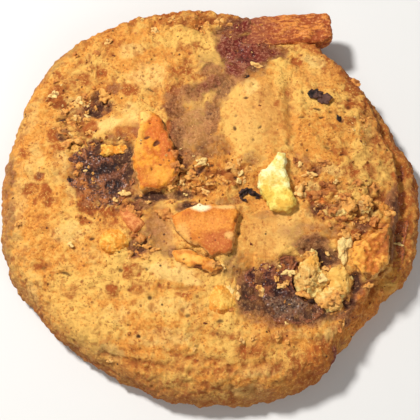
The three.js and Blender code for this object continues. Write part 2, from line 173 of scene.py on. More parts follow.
STAIN_AND_SHADE = [
    (-21.4, 2.4, 6.6, 5.4, -20, 1.1), (-16.4, 4.6, 1.5, 5, -4, 1.3),
    (-23.5, 8.8, 1.9, 1.7, 0, 1.2), (-22.2, 18, 2.2, 0.9, 0, 0.95),
    (-23.6, 20.2, 0.9, 1.8, 0, 0.8), (-25.4, 16.2, 1.4, 0.9, 0, 1), (-30.5, 11.6, 1, 1.1, 0, 1),
    (-29.8, 13, 1.2, 0.5, -20, 0.8), (-18.6, 10.6, 3, 0.8, 0, 0.4),
    (-14.8, 12.6, 1.2, 1.6, 0, 0.4), (14.5, -22.2, 7.9, 5.7, 0, 1.15), (8, -22, 2.4, 4.6, 0, 1.1),
    (20, -26, 5, 1.8, 10, 1.1), (7.8, 29, 4.4, 4.4, 20, 1.1), (6, 25.6, 3.4, 3, 0, 0.95),
    (12, 30.6, 4, 1.6, 0, 0.9), (7.4, 33.2, 5, 2, 0, 1.1), (3.4, 32.2, 2, 2.8, 0, 1),
    (0, 28.6, 2.6, 2.6, 0, 0.4), (1.6, 22.8, 3.6, 2.6, 20, 0.6), (-0.6, 22, 6, 2, 32, 0.8),
    (-4.4, 21.4, 3, 1.4, 0, 0.55), (-7.2, 19.6, 2.4, 1.6, 0, 0.68), (-6.9, 16.8, 2.4, 2.8, 0, 0.8),
    (2, 18.8, 2, 1.8, 0, 0.55), (0.2, 14, 2, 3, 0, 0.66), (-6.2, 11.6, 1.7, 4, 0, 0.9),
    (-2.6, 13, 4.6, 6, 0, 0.6), (1, 8.6, 3.4, 3, 0, 0.5), (-4.6, 6.8, 3, 2, 0, 0.72),
    # The first two ovals here are painted shadow, the dark band in front of the tall biscuit.
    (-11.4, -2.4, 4, 1, -4, 1.3), (-12.4, -3.6, 2.8, 1.2, 0, 0.8), (-5.4, -1.8, 2.6, 1, 0, 1),
    (-4.4, -4.6, 2.1, 1.4, 0, 1.1), (-10.2, -9.4, 3.2, 5, 0, 0.55), (-8, -14.4, 0.9, 1.1, 0, 0.85),
    (-13.9, -12.6, 1.9, 1.7, 0, 0.8), (5, -15.5, 3, 2.6, 0, 0.4), (20.6, -11.8, 3.4, 1.7, 0, 0.9),
    (22.6, -13.8, 2.2, 1.9, -30, 1.2), (24.2, -15.6, 1.8, 1.8, 0, 0.8),
    # The first oval here is painted shade in the hollow over the right-hand jam.
    (15.6, -15.6, 1.8, 1.1, 0, 1.1), (22.8, -4.8, 2.4, 1, 0, 0.85), (21.2, 3.4, 1.6, 0.8, 15, 0.9),
    (29.3, -19.6, 1.2, 3, -8, 1.15), (28.4, -23.6, 1.4, 1.6, 0, 1.05),
    (26.4, -25.5, 2, 1.2, 20, 0.95), (27, -27.2, 1.4, 0.9, 0, 0.8),
    (36.4, -12.6, 1.8, 2.4, 0, 0.9), (35.4, -14.4, 1.2, 1.4, 0, 0.6), (32.4, -19, 2.6, 1, 0, 0.25),
    (30.6, -8, 2, 1.2, 0, 0.7), (-16.6, -4.4, 2, 1.4, 0, 0.5), (11.3, 28.3, 0.9, 0.8, 0, 1.2),
    # The first oval here is painted shade along the crease right of the large swelling.
    (17, 17, 0.9, 6, 4, 0.25), (12, -6, 3.4, 1, 0, 0.4), (8.6, 5.6, 2.6, 1.8, 0, 0.36),
    (3.6, -3.6, 3.6, 1.2, 0, 0.42), (-5, 4.6, 1.1, 1, 0, 0.95), (-2, 3, 0.9, 0.7, 0, 0.9),
    (-34.8, 2.6, 0.9, 0.6, 0, 0.7), (27, 15, 0.8, 0.9, 0, 0.9), (38, -3, 1.2, 4, 0, 0.9),
    (37.6, -9, 1.4, 2.4, 0, 0.9), (25, -9, 4, 1.6, 0, 0.4), (19, 5.6, 2, 1.6, 0, 0.35),
    (18.2, -9.6, 4.4, 2, 0, 0.42), (27.6, -31, 6, 1, 42, 0.3), (24.8, -33.8, 1.1, 1.5, 0, 1),
    (4.6, 35.8, 3, 1.8, 0, 0.9), (3.8, 22.6, 2.8, 1.8, 40, 0.75), (-24.6, 16.6, 2.4, 1.6, 0, 1.05),
    # The last two ovals here, long and thin along the back left and left rim, are painted shade.
    (-7.9, -14, 2, 1.6, 0, 0.6), (-31.5, 30, 12, 1.8, 47, 0.4), (-41, -2, 1.6, 12, 0, 0.45),
    (24.4, -14.4, 2.2, 2, 0, 1), (24.2, -5.4, 1.8, 1, 0, 0.7), (0.4, 26, 2.6, 1.8, 20, 0.75),
    (-4, 21.4, 2.4, 1.4, 0, 0.8), (0.2, 16.6, 1.2, 2.4, 0, 0.95), (7, 37.4, 3, 2.2, 0, 1),
    (4.2, -17.6, 2.6, 1.6, 0, 0.55), (-18.4, 6.2, 2.8, 1.7, 0, 1.4), (3.2, 20.8, 4, 1.3, 52, 0.9),
    # The first oval here is painted shade on the left rim.
    (-41, 4.5, 1.2, 3, 0, 0.6), (0.4, 12.4, 1.6, 2.4, 0, 0.8), (-20, 21.6, 2, 1.4, 0, 0.5),
    (1.6, 15.4, 1.1, 3.4, 0, 0.9), (-1, 8, 1.6, 2, 0, 0.7),
]
PALED = [
    (-20.4, 13.4, 3.4, 1.8, 0, 0.9), (-15.8, 16, 2, 2.6, 20, 0.7), (-8, -18, 5, 1.6, -10, 1),
    (-4, -19.8, 2.6, 1.1, 0, 0.9), (-12.6, 24.6, 5, 3.6, 0, 0.7), (8.8, 21.6, 2.4, 2, 30, 0.7),
    (-8, -24.6, 7, 1.8, 0, 0.6), (-28, -9.5, 4, 2.4, 0, 0.7), (-30.4, 5.6, 1.6, 5, 0, 0.6),
    (-28.6, 18.2, 2.6, 2, 0, 0.9), (22, 28.6, 3.4, 1.8, -20, 0.8), (16, -29.8, 5, 1.4, 5, 0.5),
    (-18, -26, 4, 2, 0, 0.5), (-36, 6, 2, 6, 0, 0.6), (-24, -14, 3, 1.6, 0, 0.5),
    (-9, -31, 7, 2.4, 0, 0.6), (-38.6, -3, 1.8, 11, 0, 0.55), (-35, -17, 2, 8, 25, 0.35),
    (-37.4, 16, 1.6, 5, -20, 0.6), (20.4, -0.9, 2.2, 1.8, 0, 0.9), (24.8, 3.8, 2.4, 1.6, 0, 0.8),
    (4.3, 3.1, 1.6, 1.4, 0, 0.6), (-16.6, 31, 2.8, 2.2, 0, 0.7), (-28.1, -0.8, 1.8, 2.2, 0, 0.7),
    (32.4, -21, 2.4, 1.4, 30, 0.9), (33.4, 12.9, 2.2, 2.2, 0, 0.5), (10, -37.2, 5, 1.2, 5, 0.7),
    (27, -28.4, 2, 1, 42, 0.6), (36.2, -16.8, 1.4, 2, 0, 0.5), (23.8, -29.6, 3, 1.4, 30, 0.8),
    (-19.3, -33, 3, 1.6, -20, 0.8), (8, -40.8, 5, 1.2, 0, 0.9), (-35.5, -21, 2.4, 3, 30, 0.7),
    (32.6, -4.8, 2, 2, 0, 0.9), (20.3, -5.6, 2.4, 1.2, 0, 0.5), (-40, -4.5, 1.4, 3, 0, 0.7),
]
AMBERED = [
    (30, -25.5, 8, 2.6, 46, 1), (22, -34, 5, 2.4, 28, 0.9), (41, -14, 2.4, 8, -16, 0.7),
    (9, -36, 8, 1.4, 5, 0.5), (30.5, -11.6, 4, 3, 0, 0.5), (13, -31, 6, 1.6, 5, 0.5),
    (-19, -7.6, 2.4, 2, 0, 0.5), (4, 26, 3, 1.6, 30, 0.3), (-27, -21, 3, 2, 0, 0.4),
]
REDDENED = [
    (9, 29.6, 4.6, 2.6, 10, 1), (6, 26, 2.4, 2.4, 0, 0.7), (13, 32, 4, 2, 0, 0.8),
    (14.8, -21.8, 1.6, 1.2, 0, 0.8), (0.6, 23, 5, 1.8, 32, 0.55), (30, -23, 3, 2, 40, 0.35),
    (13, 32.4, 3.4, 1.6, 0, 0.9), (5, 26, 2, 2, 0, 0.7), (8.6, 33, 4.6, 2, 0, 0.9),
    (3.4, 32, 2, 2.6, 0, 0.8), (5, 35.4, 2.6, 1.4, 0, 0.6), (7.2, 37.4, 2.6, 2, 0, 0.7),
    (26.5, -31, 5.5, 1.4, 42, 0.42), (24.8, -33.8, 1.1, 1.5, 0, 1), (28.8, -26.4, 1.6, 1, 40, 0.6),
    (32, -25, 1.4, 2.6, -45, 0.5),
]

# Specks: pores and scorched grains that stand out one by one.
SPECKS = [
    (-12.3, 21.3, 1.1, 0.35, -25, 0.8), (-13.7, 19.3, 0.3, 0.3, 0, 0.9),
    (-11.5, 16.3, 0.4, 0.3, 0, 0.7), (-12.7, 28.2, 0.5, 0.45, 0, 0.6),
    (-6.5, 23.8, 0.35, 0.35, 0, 0.7), (-2, 29.8, 0.3, 0.3, 0, 0.8), (-4, 23.9, 0.3, 0.3, 0, 0.6),
    (-7.8, 14, 0.5, 0.3, 0, 0.8), (1.3, 22.3, 0.3, 0.3, 0, 0.8), (7.6, 19, 0.6, 0.35, 0, 0.9),
    (5.1, 12, 0.35, 0.6, 20, 0.9), (5.4, 14.9, 0.4, 0.4, 0, 0.6), (10.4, 12.2, 0.6, 0.35, 40, 0.8),
    (9.2, 22.2, 0.4, 0.3, 0, 0.7), (6.2, 19.6, 0.3, 0.4, 0, 0.6), (9.2, 9.7, 0.35, 0.35, 0, 0.7),
    (0.7, 9.4, 0.35, 0.35, 0, 0.6), (-3, 10.4, 0.35, 0.3, 0, 0.6), (8, 24.2, 0.7, 0.4, 20, 1),
    (19.2, 15.2, 0.9, 0.35, 0, 0.7), (22.5, 17.3, 0.9, 0.3, -20, 0.9),
    (23.3, 15.2, 0.5, 0.3, 0, 0.9), (25.2, 16.6, 0.5, 0.45, 0, 0.7), (19.6, 21, 0.35, 0.4, 0, 0.8),
    (19.3, 17.7, 0.35, 0.35, 0, 0.6), (26.8, 15, 0.6, 0.7, 0, 0.8), (29.2, 18, 0.6, 0.6, 0, 0.7),
    (29.3, 19.8, 0.6, 0.4, 0, 0.7), (24.2, 8.6, 0.7, 0.35, 0, 0.6), (27.3, 7.2, 0.5, 0.3, 0, 0.8),
    (-30.8, 15.3, 0.9, 0.35, 20, 1), (-29.3, 18.5, 0.6, 0.3, -25, 0.9),
    (-27.6, 24.2, 0.5, 0.3, 0, 0.8), (-22.6, 25.5, 0.5, 0.6, 0, 0.6),
    (-28.2, 2, 0.55, 0.5, -20, 1), (-23, -11, 0.6, 0.45, 0, 0.9),
    (-20.6, -12.4, 0.4, 1.3, 40, 0.8), (-28.6, -17.7, 1.3, 0.4, -20, 0.8),
    (-17.4, -17.4, 0.5, 0.4, 0, 0.8), (-12.2, -17.6, 0.4, 0.4, 0, 0.8),
    (-17.7, -19.4, 0.3, 0.3, 0, 0.6), (-11.5, -23, 0.6, 0.6, 0, 0.9),
    (-13.7, -30.6, 0.4, 0.35, 0, 1), (-4.2, -26.5, 0.5, 0.45, 0, 0.8),
    (-15.8, -28.2, 0.35, 0.3, 0, 0.8), (-8.8, -26.7, 0.35, 0.35, 0, 0.6),
    (-18.3, -29, 0.35, 0.3, 0, 0.6), (1.8, -30.1, 0.4, 0.3, 0, 0.6),
    (2.4, -27.7, 0.8, 0.35, 0, 0.8), (5.9, -27.6, 0.3, 0.3, 0, 0.6),
    (-2.5, -32.6, 0.6, 0.35, 0, 0.6), (8.8, -5.5, 0.4, 0.4, 0, 0.5),
    (9.1, -8.9, 0.4, 0.35, 0, 0.4), (11, -11.2, 0.8, 0.7, 0, 0.35),
    (16.1, -12.7, 0.4, 0.35, 0, 0.6), (5.9, -10, 0.5, 0.5, 0, 0.8), (8.4, 3.9, 0.6, 0.5, 0, 0.7),
    (5.4, 1.5, 0.5, 0.4, 0, 1), (0.7, 4.2, 0.5, 0.35, 0, 0.9), (27, -9.2, 0.3, 0.3, 0, 0.7),
    (-33, -16.5, 0.5, 0.6, 0, 0.6), (-31.6, -18, 0.3, 0.3, 0, 0.8), (-36, -18.6, 0.4, 0.3, 0, 0.7),
]

# How brown the rim and the foot of the wall are round the cookie: partly real browning and partly
# painted shade on the edge.
RIM_BROWNING_AND_SHADE = [
    (0, 0.65), (30, 0.7), (45, 0.7), (60, 0.9), (90, 0.6), (105, 0.7), (120, 0.5), (150, 0.15),
    (165, 0.35), (180, 0.4), (210, 0.1), (260, 0.35), (283, 0.3), (303, 0.6), (318, 0.15),
    (335, 0.3),
]
FOOT_BROWNING_AND_SHADE = [
    (0, 0.6), (60, 0.8), (105, 0.8), (140, 1), (180, 0.85), (210, 0.9), (232, 1), (250, 1.1),
    (280, 0.85), (302, 0.6), (318, 0.25), (345, 0.5),
]

# Cells along the grid that becomes the crust, how far out on it the rim is, and where and how
# often the wall is eased.
GRID_CELLS = 308
RIM_SHARE = 0.76
WALL_FROM = 33
WALL_SMOOTHING = 6

# How far outlines wander from their rows, as a share of the noise that moves them.
LOOK_WANDER, TEAR_WANDER, CLUMP_WANDER, CRACK_WANDER = 0.55, 0.4, 0.3, 0.2


def rising(value, start, end):
    """Goes evenly from 0 at start to 1 at end, and stays there."""
    return np.clip((value - start) / (end - start), 0, 1)


def around(stops, angle):
    """A value that changes round the cookie, eased from one (angle, value) stop to the next."""
    angles, values = np.array(stops, float).T
    angles, values = np.append(angles, angles[0] + 360), np.append(values, values[0])
    turned = (np.asarray(angle) - angles[0]) % 360 + angles[0]
    last = np.searchsorted(angles, turned, side="right") - 1
    t = (turned - angles[last]) / (angles[last + 1] - angles[last])
    return values[last] + (values[last + 1] - values[last]) * t * t * (3 - 2 * t)


def across(form, x, y):
    """Places on the top as shares of a patch's half sizes, along and across it."""
    middle_x, middle_y, half_x, half_y, turn = form
    c, s = math.cos(math.radians(turn)), math.sin(math.radians(turn))
    east, north = x - middle_x, y - middle_y
    return (east * c + north * s) / half_x, (north * c - east * s) / half_y


def swell(forms, x, y):
    """The height that a list of swellings and hollows adds."""
    height = 0
    for *form, rise in forms:
        u, v = across(form, x, y)
        height = height + rise * np.exp(-u * u - v * v)
    return height


def cover(patches, x, y):
    """How strongly a list of patches covers a place, from 0 to 1, with flat tops and soft edges."""
    strongest = 0
    for *form, strength in patches:
        u, v = across(form, x, y)
        strongest = np.maximum(strongest, strength / (1 + (u * u + v * v) ** 3))
    return strongest


def groove(routes, x, y):
    """How far the cracks cut in."""
    depth = 0
    for route, width, deep in routes:
        for (ax, ay), (bx, by) in zip(route, route[1:]):
            run = (bx - ax) ** 2 + (by - ay) ** 2
            t = np.clip(((x - ax) * (bx - ax) + (y - ay) * (by - ay)) / run, 0, 1)
            away = np.hypot(x - ax - t * (bx - ax), y - ay - t * (by - ay))
            depth = np.maximum(depth, deep * np.exp(-((away / width) ** 2)))
    return depth


def bearing(x, y):
    """The direction of a place round the cookie, in degrees, anticlockwise from the right."""
    return np.degrees(np.arctan2(y, x))


def rim_radius(angle):
    """How far out the rim of the top is."""
    return around(FOOT, angle) - around(SPREAD, angle)


def top_height(x, y):
    """The height of the dough's top over the underside, without its crumb."""
    share = np.hypot(x, y) / rim_radius(bearing(x, y))
    return RIM_HEIGHT + CROWN_RISE * (1 - share * share) + swell(RELIEF, x, y)


def dough_places(u, v):
    """Lays the points of a flat square grid, from -1 to 1 each way, over the top and the wall."""
    out = np.maximum(abs(u), abs(v))
    sideways = abs(u) >= abs(v)
    safe = np.where(out < 1e-6, 1, out)
    angle = np.where(sideways, 45 * v / safe * np.sign(u), 90 - 45 * u / safe * np.sign(v))
    angle = angle + np.where(sideways, 180 * (u < 0), 180 * (v < 0))
    rim = rim_radius(angle)
    east, north = np.cos(np.radians(angle)), np.sin(np.radians(angle))
    down = rising(out, RIM_SHARE, 1)
    stations = np.linspace(0, 1, len(PLAIN_WALL))
    ledge = around(LEDGE_SHARE, angle)
    away, up = [
        np.interp(down, stations, [stop[axis] for stop in PLAIN_WALL]) * (1 - ledge)
        + np.interp(down, stations, [stop[axis] for stop in LEDGE_WALL]) * ledge
        for axis in (0, 1)
    ]
    radius = rim * np.minimum(out / RIM_SHARE, 1)
    height = up * top_height(radius * east, radius * north)
    radius = radius + away * around(SPREAD, angle)
    return np.column_stack([radius * east, radius * north, height])


def grainy(points, size, shift=0):
    """Perlin noise with lumps of that size in millimetres, -1 to 1, for each point."""
    return np.array([noise.noise(Vector(p)) for p in points / size + shift])


def grains_of(points, size):
    """Rounded grains of that size packed side by side: high on a grain, low between grains."""
    return 0.5 - np.array([noise.voronoi(Vector(p))[0][0] for p in points / size])


def crevices(points, size, width):
    """Narrow clefts between lumps of that size: 1 in the cleft, 0 away from it."""
    nearest = [noise.voronoi(Vector(p))[0] for p in points / size]
    return np.array([max(0, 1 - (first[1] - first[0]) / width) for first in nearest])


def pits(points, size, share, radius=0.3):
    """Pores strewn through the crust: 1 in the middle of a pore, 0 outside."""
    depths = []
    for p in points / size:
        distances, middles = noise.voronoi(Vector(p))
        kept = noise.cell(middles[0] * 7.3) < share * 2 - 1
        depths.append(max(0, 1 - distances[0] / radius) if kept else 0)
    return np.array(depths)


dough = bmesh.new()
bmesh.ops.create_grid(dough, x_segments=GRID_CELLS, y_segments=GRID_CELLS, size=1)
flat = np.array([vert.co for vert in dough.verts])
for vert, place in zip(dough.verts, dough_places(flat[:, 0], flat[:, 1])):
    vert.co = place
wall_verts = [v for v in dough.verts if not v.is_boundary and v.co.xy.length > WALL_FROM]
for _ in range(WALL_SMOOTHING):
    bmesh.ops.smooth_vert(
        dough, verts=wall_verts, factor=0.5, use_axis_x=True, use_axis_y=True, use_axis_z=True
    )
dough.normal_update()

at = np.array([vert.co for vert in dough.verts])
normals = np.array([vert.normal for vert in dough.verts])
# Here and below, each noise has a weight, which is a height in millimetres where it moves a
# surface, and a lump size in millimetres. A third number only picks another part of the noise.
warp = np.column_stack([
    1.5 * grainy(at, 4.5, shift) + 1.3 * grainy(at, 1.4, shift) for shift in (3.1, 11.7)
])
x, y = (at[:, :2] + LOOK_WANDER * warp).T
near_x, near_y = (at[:, :2] + CRACK_WANDER * warp).T
tear_x, tear_y = (at[:, :2] + TEAR_WANDER * warp).T
angle = bearing(at[:, 0], at[:, 1])
out = np.hypot(at[:, 0], at[:, 1]) / rim_radius(angle)
on_top = rising(out, 1.04, 0.98)
crumbly = cover(CRUMBLY, x, y) * on_top
smooth = cover(SMOOTH, x, y) * (1 - crumbly)
above_foot = rising(at[:, 2], 1, 5)
stain_and_shade = cover(STAIN_AND_SHADE, x, y) * above_foot
specks = cover(SPECKS, near_x, near_y) * on_top

# The crust's own relief: slow swellings, then grain and fine clefts, or torn clumps where it is
# crumbly, then pores. Butter and jam smooth it over.
bent = at + np.column_stack([warp, warp[:, 0]]) * CLUMP_WANDER
swelling = 0.5 * grainy(at, 7.5) + 0.55 * grainy(at, 3)
cleft = crevices(bent, 2.4, 0.2) * (grainy(at, 5, 21) > -0.1)
grain = 0.3 * grainy(at, 1.3, 5) + 0.16 * grainy(at, 0.7, 9) + 0.28 * grains_of(at, 1)
clumps = 0.9 * grains_of(bent, 2.3) + 0.5 * grains_of(bent, 1.1) + 0.6 * grainy(at, 3.2, 6)
torn = np.maximum(crevices(bent, 2.3, 0.3), 0.6 * crevices(bent, 1.1, 0.3))
pore = np.maximum(pits(at, 1.5, 0.3), pits(at + 9, 2.7, 0.3))
plain = 1 - 0.75 * smooth
texture = plain * (grain - 0.24 * cleft * (1 - crumbly)) + crumbly * (clumps - 0.55 * torn)
lift = swelling * (1 - 0.5 * smooth) + texture - 0.34 * pore * plain - 0.4 * specks
cracks = groove(CRACKS, near_x, near_y)
lift += swell(TEARS, tear_x, tear_y) * on_top - cracks
lift[[vert.index for vert in dough.verts if vert.is_boundary]] = 0

# The looks, which the material reads back at each point.
# The rim and the wall's foot get browning mixed with painted shade, and the foot gets darker
# towards the bottom.
rim_edge = rising(out, 0.93, 1) * around(RIM_BROWNING_AND_SHADE, angle)
wall_foot = around(FOOT_BROWNING_AND_SHADE, angle) * rising(at[:, 2], 12.825, 3.325)
browning_and_edge_shade = np.maximum(cover(BROWNED, x, y) * on_top, np.maximum(rim_edge, 0.35 * wall_foot))
looks = {
    "crumbly": crumbly, "smooth": smooth, "browning_and_edge_shade": browning_and_edge_shade, "stain_and_shade": stain_and_shade,
    "reddened": cover(REDDENED, x, y) * above_foot, "paled": cover(PALED, x, y),
    "ambered": cover(AMBERED, x, y),
    "cavity": 0.45 - texture + 0.8 * cracks, "pore": pore, "specks": specks, "wall_foot": wall_foot,
}
for name, values in looks.items():
    layer = dough.verts.layers.float.new(name)
    for vert, value in zip(dough.verts, values):
        vert[layer] = value
for vert, place in zip(dough.verts, at + normals * lift[:, None]):
    vert.co = place
underside = bmesh.ops.contextual_create(dough, geom=[e for e in dough.edges if e.is_boundary])
bmesh.ops.recalc_face_normals(dough, faces=dough.faces)
for face in dough.faces:
    face.smooth = face not in underside["faces"]


def finished(bm, name):
    """Brings a mesh from millimetres to metres and makes it an object of the scene."""
    bmesh.ops.scale(bm, vec=(MM, MM, MM), verts=bm.verts)
    mesh = bpy.data.meshes.new(name)
    bm.to_mesh(mesh)
    bm.free()
    piece = bpy.data.objects.new(name, mesh)
    bpy.context.scene.collection.objects.link(piece)
    return piece


class Wire:
    """A socket in a material's node tree, on which arithmetic adds Math nodes."""

    def __init__(self, tree, socket=None):
        self.tree = tree
        self.socket = socket

    def node(self, kind, inputs=(), output=0, **settings):
        """Adds a node of that type: its settings first, then the values or links of its sockets."""
        made = self.tree.nodes.new("ShaderNode" + kind)
        for name, value in settings.items():
            setattr(made, name, value)
        for key, value in dict(inputs).items():
            if isinstance(value, Wire):
                self.tree.links.new(value.socket, made.inputs[key])
            else:
                made.inputs[key].default_value = value
        return Wire(self.tree, made.outputs[output])

    def math(self, operation, *values):
        return self.node("Math", enumerate(values), operation=operation)

    def __add__(self, other):
        return self.math("ADD", self, other)

    def __sub__(self, other):
        return self.math("SUBTRACT", self, other)

    def __rsub__(self, other):
        return self.math("SUBTRACT", other, self)

    def __mul__(self, other):
        return self.math("MULTIPLY", self, other)

    __radd__ = __add__
    __rmul__ = __mul__

    def step(self, low, high):
        """Eases from 0 at low to 1 at high, either way round."""
        inputs = {"Value": self, "From Min": low, "From Max": high}
        return self.node("MapRange", inputs, interpolation_type="SMOOTHSTEP")

    def mix(self, first, second):
        """A blend of two colours, with this value as the share of the second."""
        return self.node("Mix", {0: self, 6: first, 7: second}, output=2, data_type="RGBA")


def srgb(red, green, blue):
    """A colour as it looks on a screen, 0 to 255, as the linear one that a shader takes."""
    parts = [c / 255 for c in (red, green, blue)]
    return [p / 12.92 if p <= 0.04045 else ((p + 0.055) / 1.055) ** 2.4 for p in parts] + [1]


def food_material(name, build, **constants):
    """A material whose build(w, place) gives colour, roughness and bump height in millimetres."""
    material = bpy.data.materials.new(name)
    material.use_nodes = True
    tree = material.node_tree
    tree.nodes.clear()
    w = Wire(tree)
    coordinate = w.node("TexCoord", output="Object")
    place = w.node("VectorMath", {0: coordinate, "Scale": 1 / MM}, operation="SCALE")
    colour, roughness, height = build(w, place)
    bump = w.node("Bump", {"Strength": 1, "Distance": MM, "Height": height})
    inputs = {"Base Color": colour, "Roughness": roughness, "Normal": bump, **constants}
    shader = w.node("BsdfPrincipled", inputs)
    output = tree.nodes.new("ShaderNodeOutputMaterial")
    tree.links.new(shader.socket, output.inputs["Surface"])
    return material


def clouds(w, place, size, detail=3, roughness=0.55):
    """Noise with lumps of about that size in millimetres, from 0 to 1."""
    inputs = {"Vector": place, "Scale": 1 / size, "Detail": detail, "Roughness": roughness}
    return w.node("TexNoise", inputs)


def dots(w, place, size, radius, share):
    """Round specks, one to a cell of that size, of which only a share is kept."""
    cells = {"Vector": place, "Scale": 1 / size}
    away = w.node("TexVoronoi", cells)
    kept = w.node("TexVoronoi", cells, output="Color")
    chosen = w.node("SeparateColor", {0: kept}).step(1 - share, 1 - share + 0.05)
    return away.step(radius, radius * 0.4) * chosen


def painted(w, name):
    """A look that was worked out point by point on the mesh."""
    return w.node("Attribute", output="Fac", attribute_name=name)


GOLD = srgb(228, 150, 62)
PALE_GOLD = srgb(246, 192, 97)
AMBER = srgb(218, 124, 46)
BUTTER = srgb(208, 154, 80)
CREAMY = srgb(248, 203, 118)
TOAST = srgb(172, 88, 34)
FLANK = srgb(158, 91, 46)
RUSSET = srgb(132, 64, 28)
BURNT = srgb(62, 32, 18)
WINE = srgb(64, 32, 24)
CHERRY = srgb(116, 28, 20)


def dough_look(w, place):
    crumbly, smooth = painted(w, "crumbly"), painted(w, "smooth")
    browning_and_edge_shade, stain_and_shade = painted(w, "browning_and_edge_shade"), painted(w, "stain_and_shade")
    cavity, pore, specks = painted(w, "cavity"), painted(w, "pore"), painted(w, "specks")
    large, blotch = clouds(w, place, 9), clouds(w, place, 3)
    middle, fine = clouds(w, place, 1.3, 4, 0.6), clouds(w, place, 0.5, 4, 0.7)
    # Baked gold, buttery where smooth, with paler and syrupy parts.
    colour = (large + (middle - 0.5) * 0.6).step(0.38, 0.6).mix(GOLD, PALE_GOLD)
    colour = (smooth * (0.4 + middle * 0.5)).mix(colour, BUTTER)
    colour = ((painted(w, "paled") + (middle - 0.5)).step(0.2, 0.9) * 0.8).mix(colour, CREAMY)
    colour = ((painted(w, "ambered") + (middle - 0.5)).step(0.2, 0.9) * 0.8).mix(colour, AMBER)
    # Toasted wall, edges and raised crust: real browning, with painted shade mixed in on the rim,
    # on the wall's foot and in the hollows.
    flank = painted(w, "wall_foot")
    colour = ((flank + (middle - 0.5) * 0.8).step(0.1, 0.8) * 0.75).mix(colour, FLANK)
    toast_and_shade = browning_and_edge_shade * 1.25 + (blotch - 0.5) * 1.1 + (middle - 0.5) * 2 + (cavity - 0.5) * 0.6
    colour = (toast_and_shade + (fine - 0.5) * 0.8 - smooth * 0.2).step(0.15, 1.1).mix(colour, TOAST)
    # Fine pale and dark flecks, then freckles of three sizes.
    colour = (fine.step(0.52, 0.64) * (0.7 - smooth * 0.25 - flank * 0.2)).mix(colour, PALE_GOLD)
    freckled = blotch.step(0.42, 0.58) * 0.55 + 0.35
    colour = (fine.step(0.47, 0.36) * freckled * (1 - smooth * 0.4)).mix(colour, TOAST)
    spots = clouds(w, place, 1.7, 2).step(0.57, 0.68)
    colour = (spots * (0.5 - smooth * 0.25)).mix(colour, TOAST)
    colour = (dots(w, place, 0.9, 0.3, 0.16) * (0.6 - smooth * 0.3)).mix(colour, RUSSET)
    colour = (dots(w, place, 1.9, 0.25, 0.35) * (0.7 - smooth * 0.3)).mix(colour, RUSSET)
    colour = (dots(w, place, 2.9, 0.12, 0.35) * 0.9).mix(colour, BURNT)
    # Clefts and pores darker with painted shade, ridges paler with a painted highlight.
    colour = (crumbly * (blotch + (fine - 0.5) * 0.4).step(0.53, 0.66) * 0.5).mix(colour, AMBER)
    colour = (cavity.step(0.5, 1.05) * (0.4 + crumbly * 0.3)).mix(colour, RUSSET)
    colour = (cavity.step(0.3, -0.1) * 0.6).mix(colour, PALE_GOLD)
    colour = (pore.step(0.15, 0.8) * 0.6).mix(colour, RUSSET)
    # Jam soaked into the crust: plum, wine where deepest, pasty flecks, and red where it's fresh.
    # Where the stain rows are painted shade, the same plum and wine paint that shade.
    mottled = (middle - 0.5) * 0.9 + (fine - 0.5) * 0.7 + (cavity - 0.5) * 0.4
    soak_and_shade = (stain_and_shade + mottled) * stain_and_shade.step(0.02, 0.3)
    plum_shade = (fine * 0.4 + middle * 0.35 + blotch * 0.25).step(0.44, 0.56)
    plum = plum_shade.mix(srgb(84, 36, 22), srgb(168, 106, 64))
    colour = (soak_and_shade.step(0, 0.8) * 0.85).mix(colour, plum)
    colour = (soak_and_shade.step(0.85, 1.2) * 0.9).mix(colour, WINE)
    pasty = clouds(w, place, 0.6, 4, 0.8).step(0.54, 0.62)
    colour = (soak_and_shade.step(0.2, 0.5) * pasty * 0.4).mix(colour, srgb(220, 166, 108))
    cherry = (painted(w, "reddened") + (middle - 0.5) * 0.8).step(0.3, 0.8)
    colour = (cherry * (0.5 + soak_and_shade * 0.35)).mix(colour, CHERRY)
    colour = (cherry * fine.step(0.5, 0.62) * 0.6).mix(colour, srgb(206, 140, 104))
    colour = (specks.step(0.2, 0.95) * 0.9).mix(colour, BURNT)
    roughness = 0.8 - soak_and_shade.step(0.3, 1) * 0.25 - smooth * 0.1
    grit = clouds(w, place, 0.28, 3, 0.7)
    height = grit * (0.26 + crumbly * 0.12 - smooth * 0.15) + fine * (0.36 - smooth * 0.22)
    return colour, roughness, height


DRY = {"Specular IOR Level": 0.25}
dough_piece = finished(dough, "baked_dough")
dough_piece.data.materials.append(food_material("baked_dough", dough_look, **DRY))
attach(dough_piece, "root")
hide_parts("dough")


# ---------------------------------------------------------------------------------------------
# Jam: seedy strawberry jam baked into three hollows of the top and squeezed out along the
# groove over the ledge. It has dried to a dark, half-glossy skin with seeds just under it.

# Each pool: the dark and the light of its core, the colour round it, and the ovals that make
# its core up, as middle x and y and half sizes.
POOLS = {
    "jam_left": (srgb(44, 24, 20), srgb(114, 64, 42), srgb(188, 112, 52), [
        (-21.6, 4.8, 5.4, 3.4), (-19.2, 1, 2.6, 3.4),
    ]),
    "jam_right": (srgb(78, 34, 26), srgb(144, 78, 48), srgb(166, 96, 50), [
        (10, -19.4, 4.6, 3.4), (16, -23.6, 7, 3.4),
    ]),
    "jam_top": (srgb(86, 14, 14), srgb(140, 54, 40), srgb(170, 108, 76), [(8.6, 30.4, 3.4, 2.2)]),
    "jam_seam": (srgb(134, 56, 30), srgb(188, 100, 52), srgb(206, 120, 56), [(40, -1, 3, 9)]),
}

# The cells of the fine mesh, and how close the corners of loose triangles are joined.
JAM_VOXEL = 0.24
WELD = 0.002

# The grey skin and the wet dark spot of the right-hand pool, as middle x and y and half sizes.
GREY_SKIN = (15.6, -24.4, 6.4, 2.6)
WET_SPOT = (14.8, -21.9, 1.8, 1)


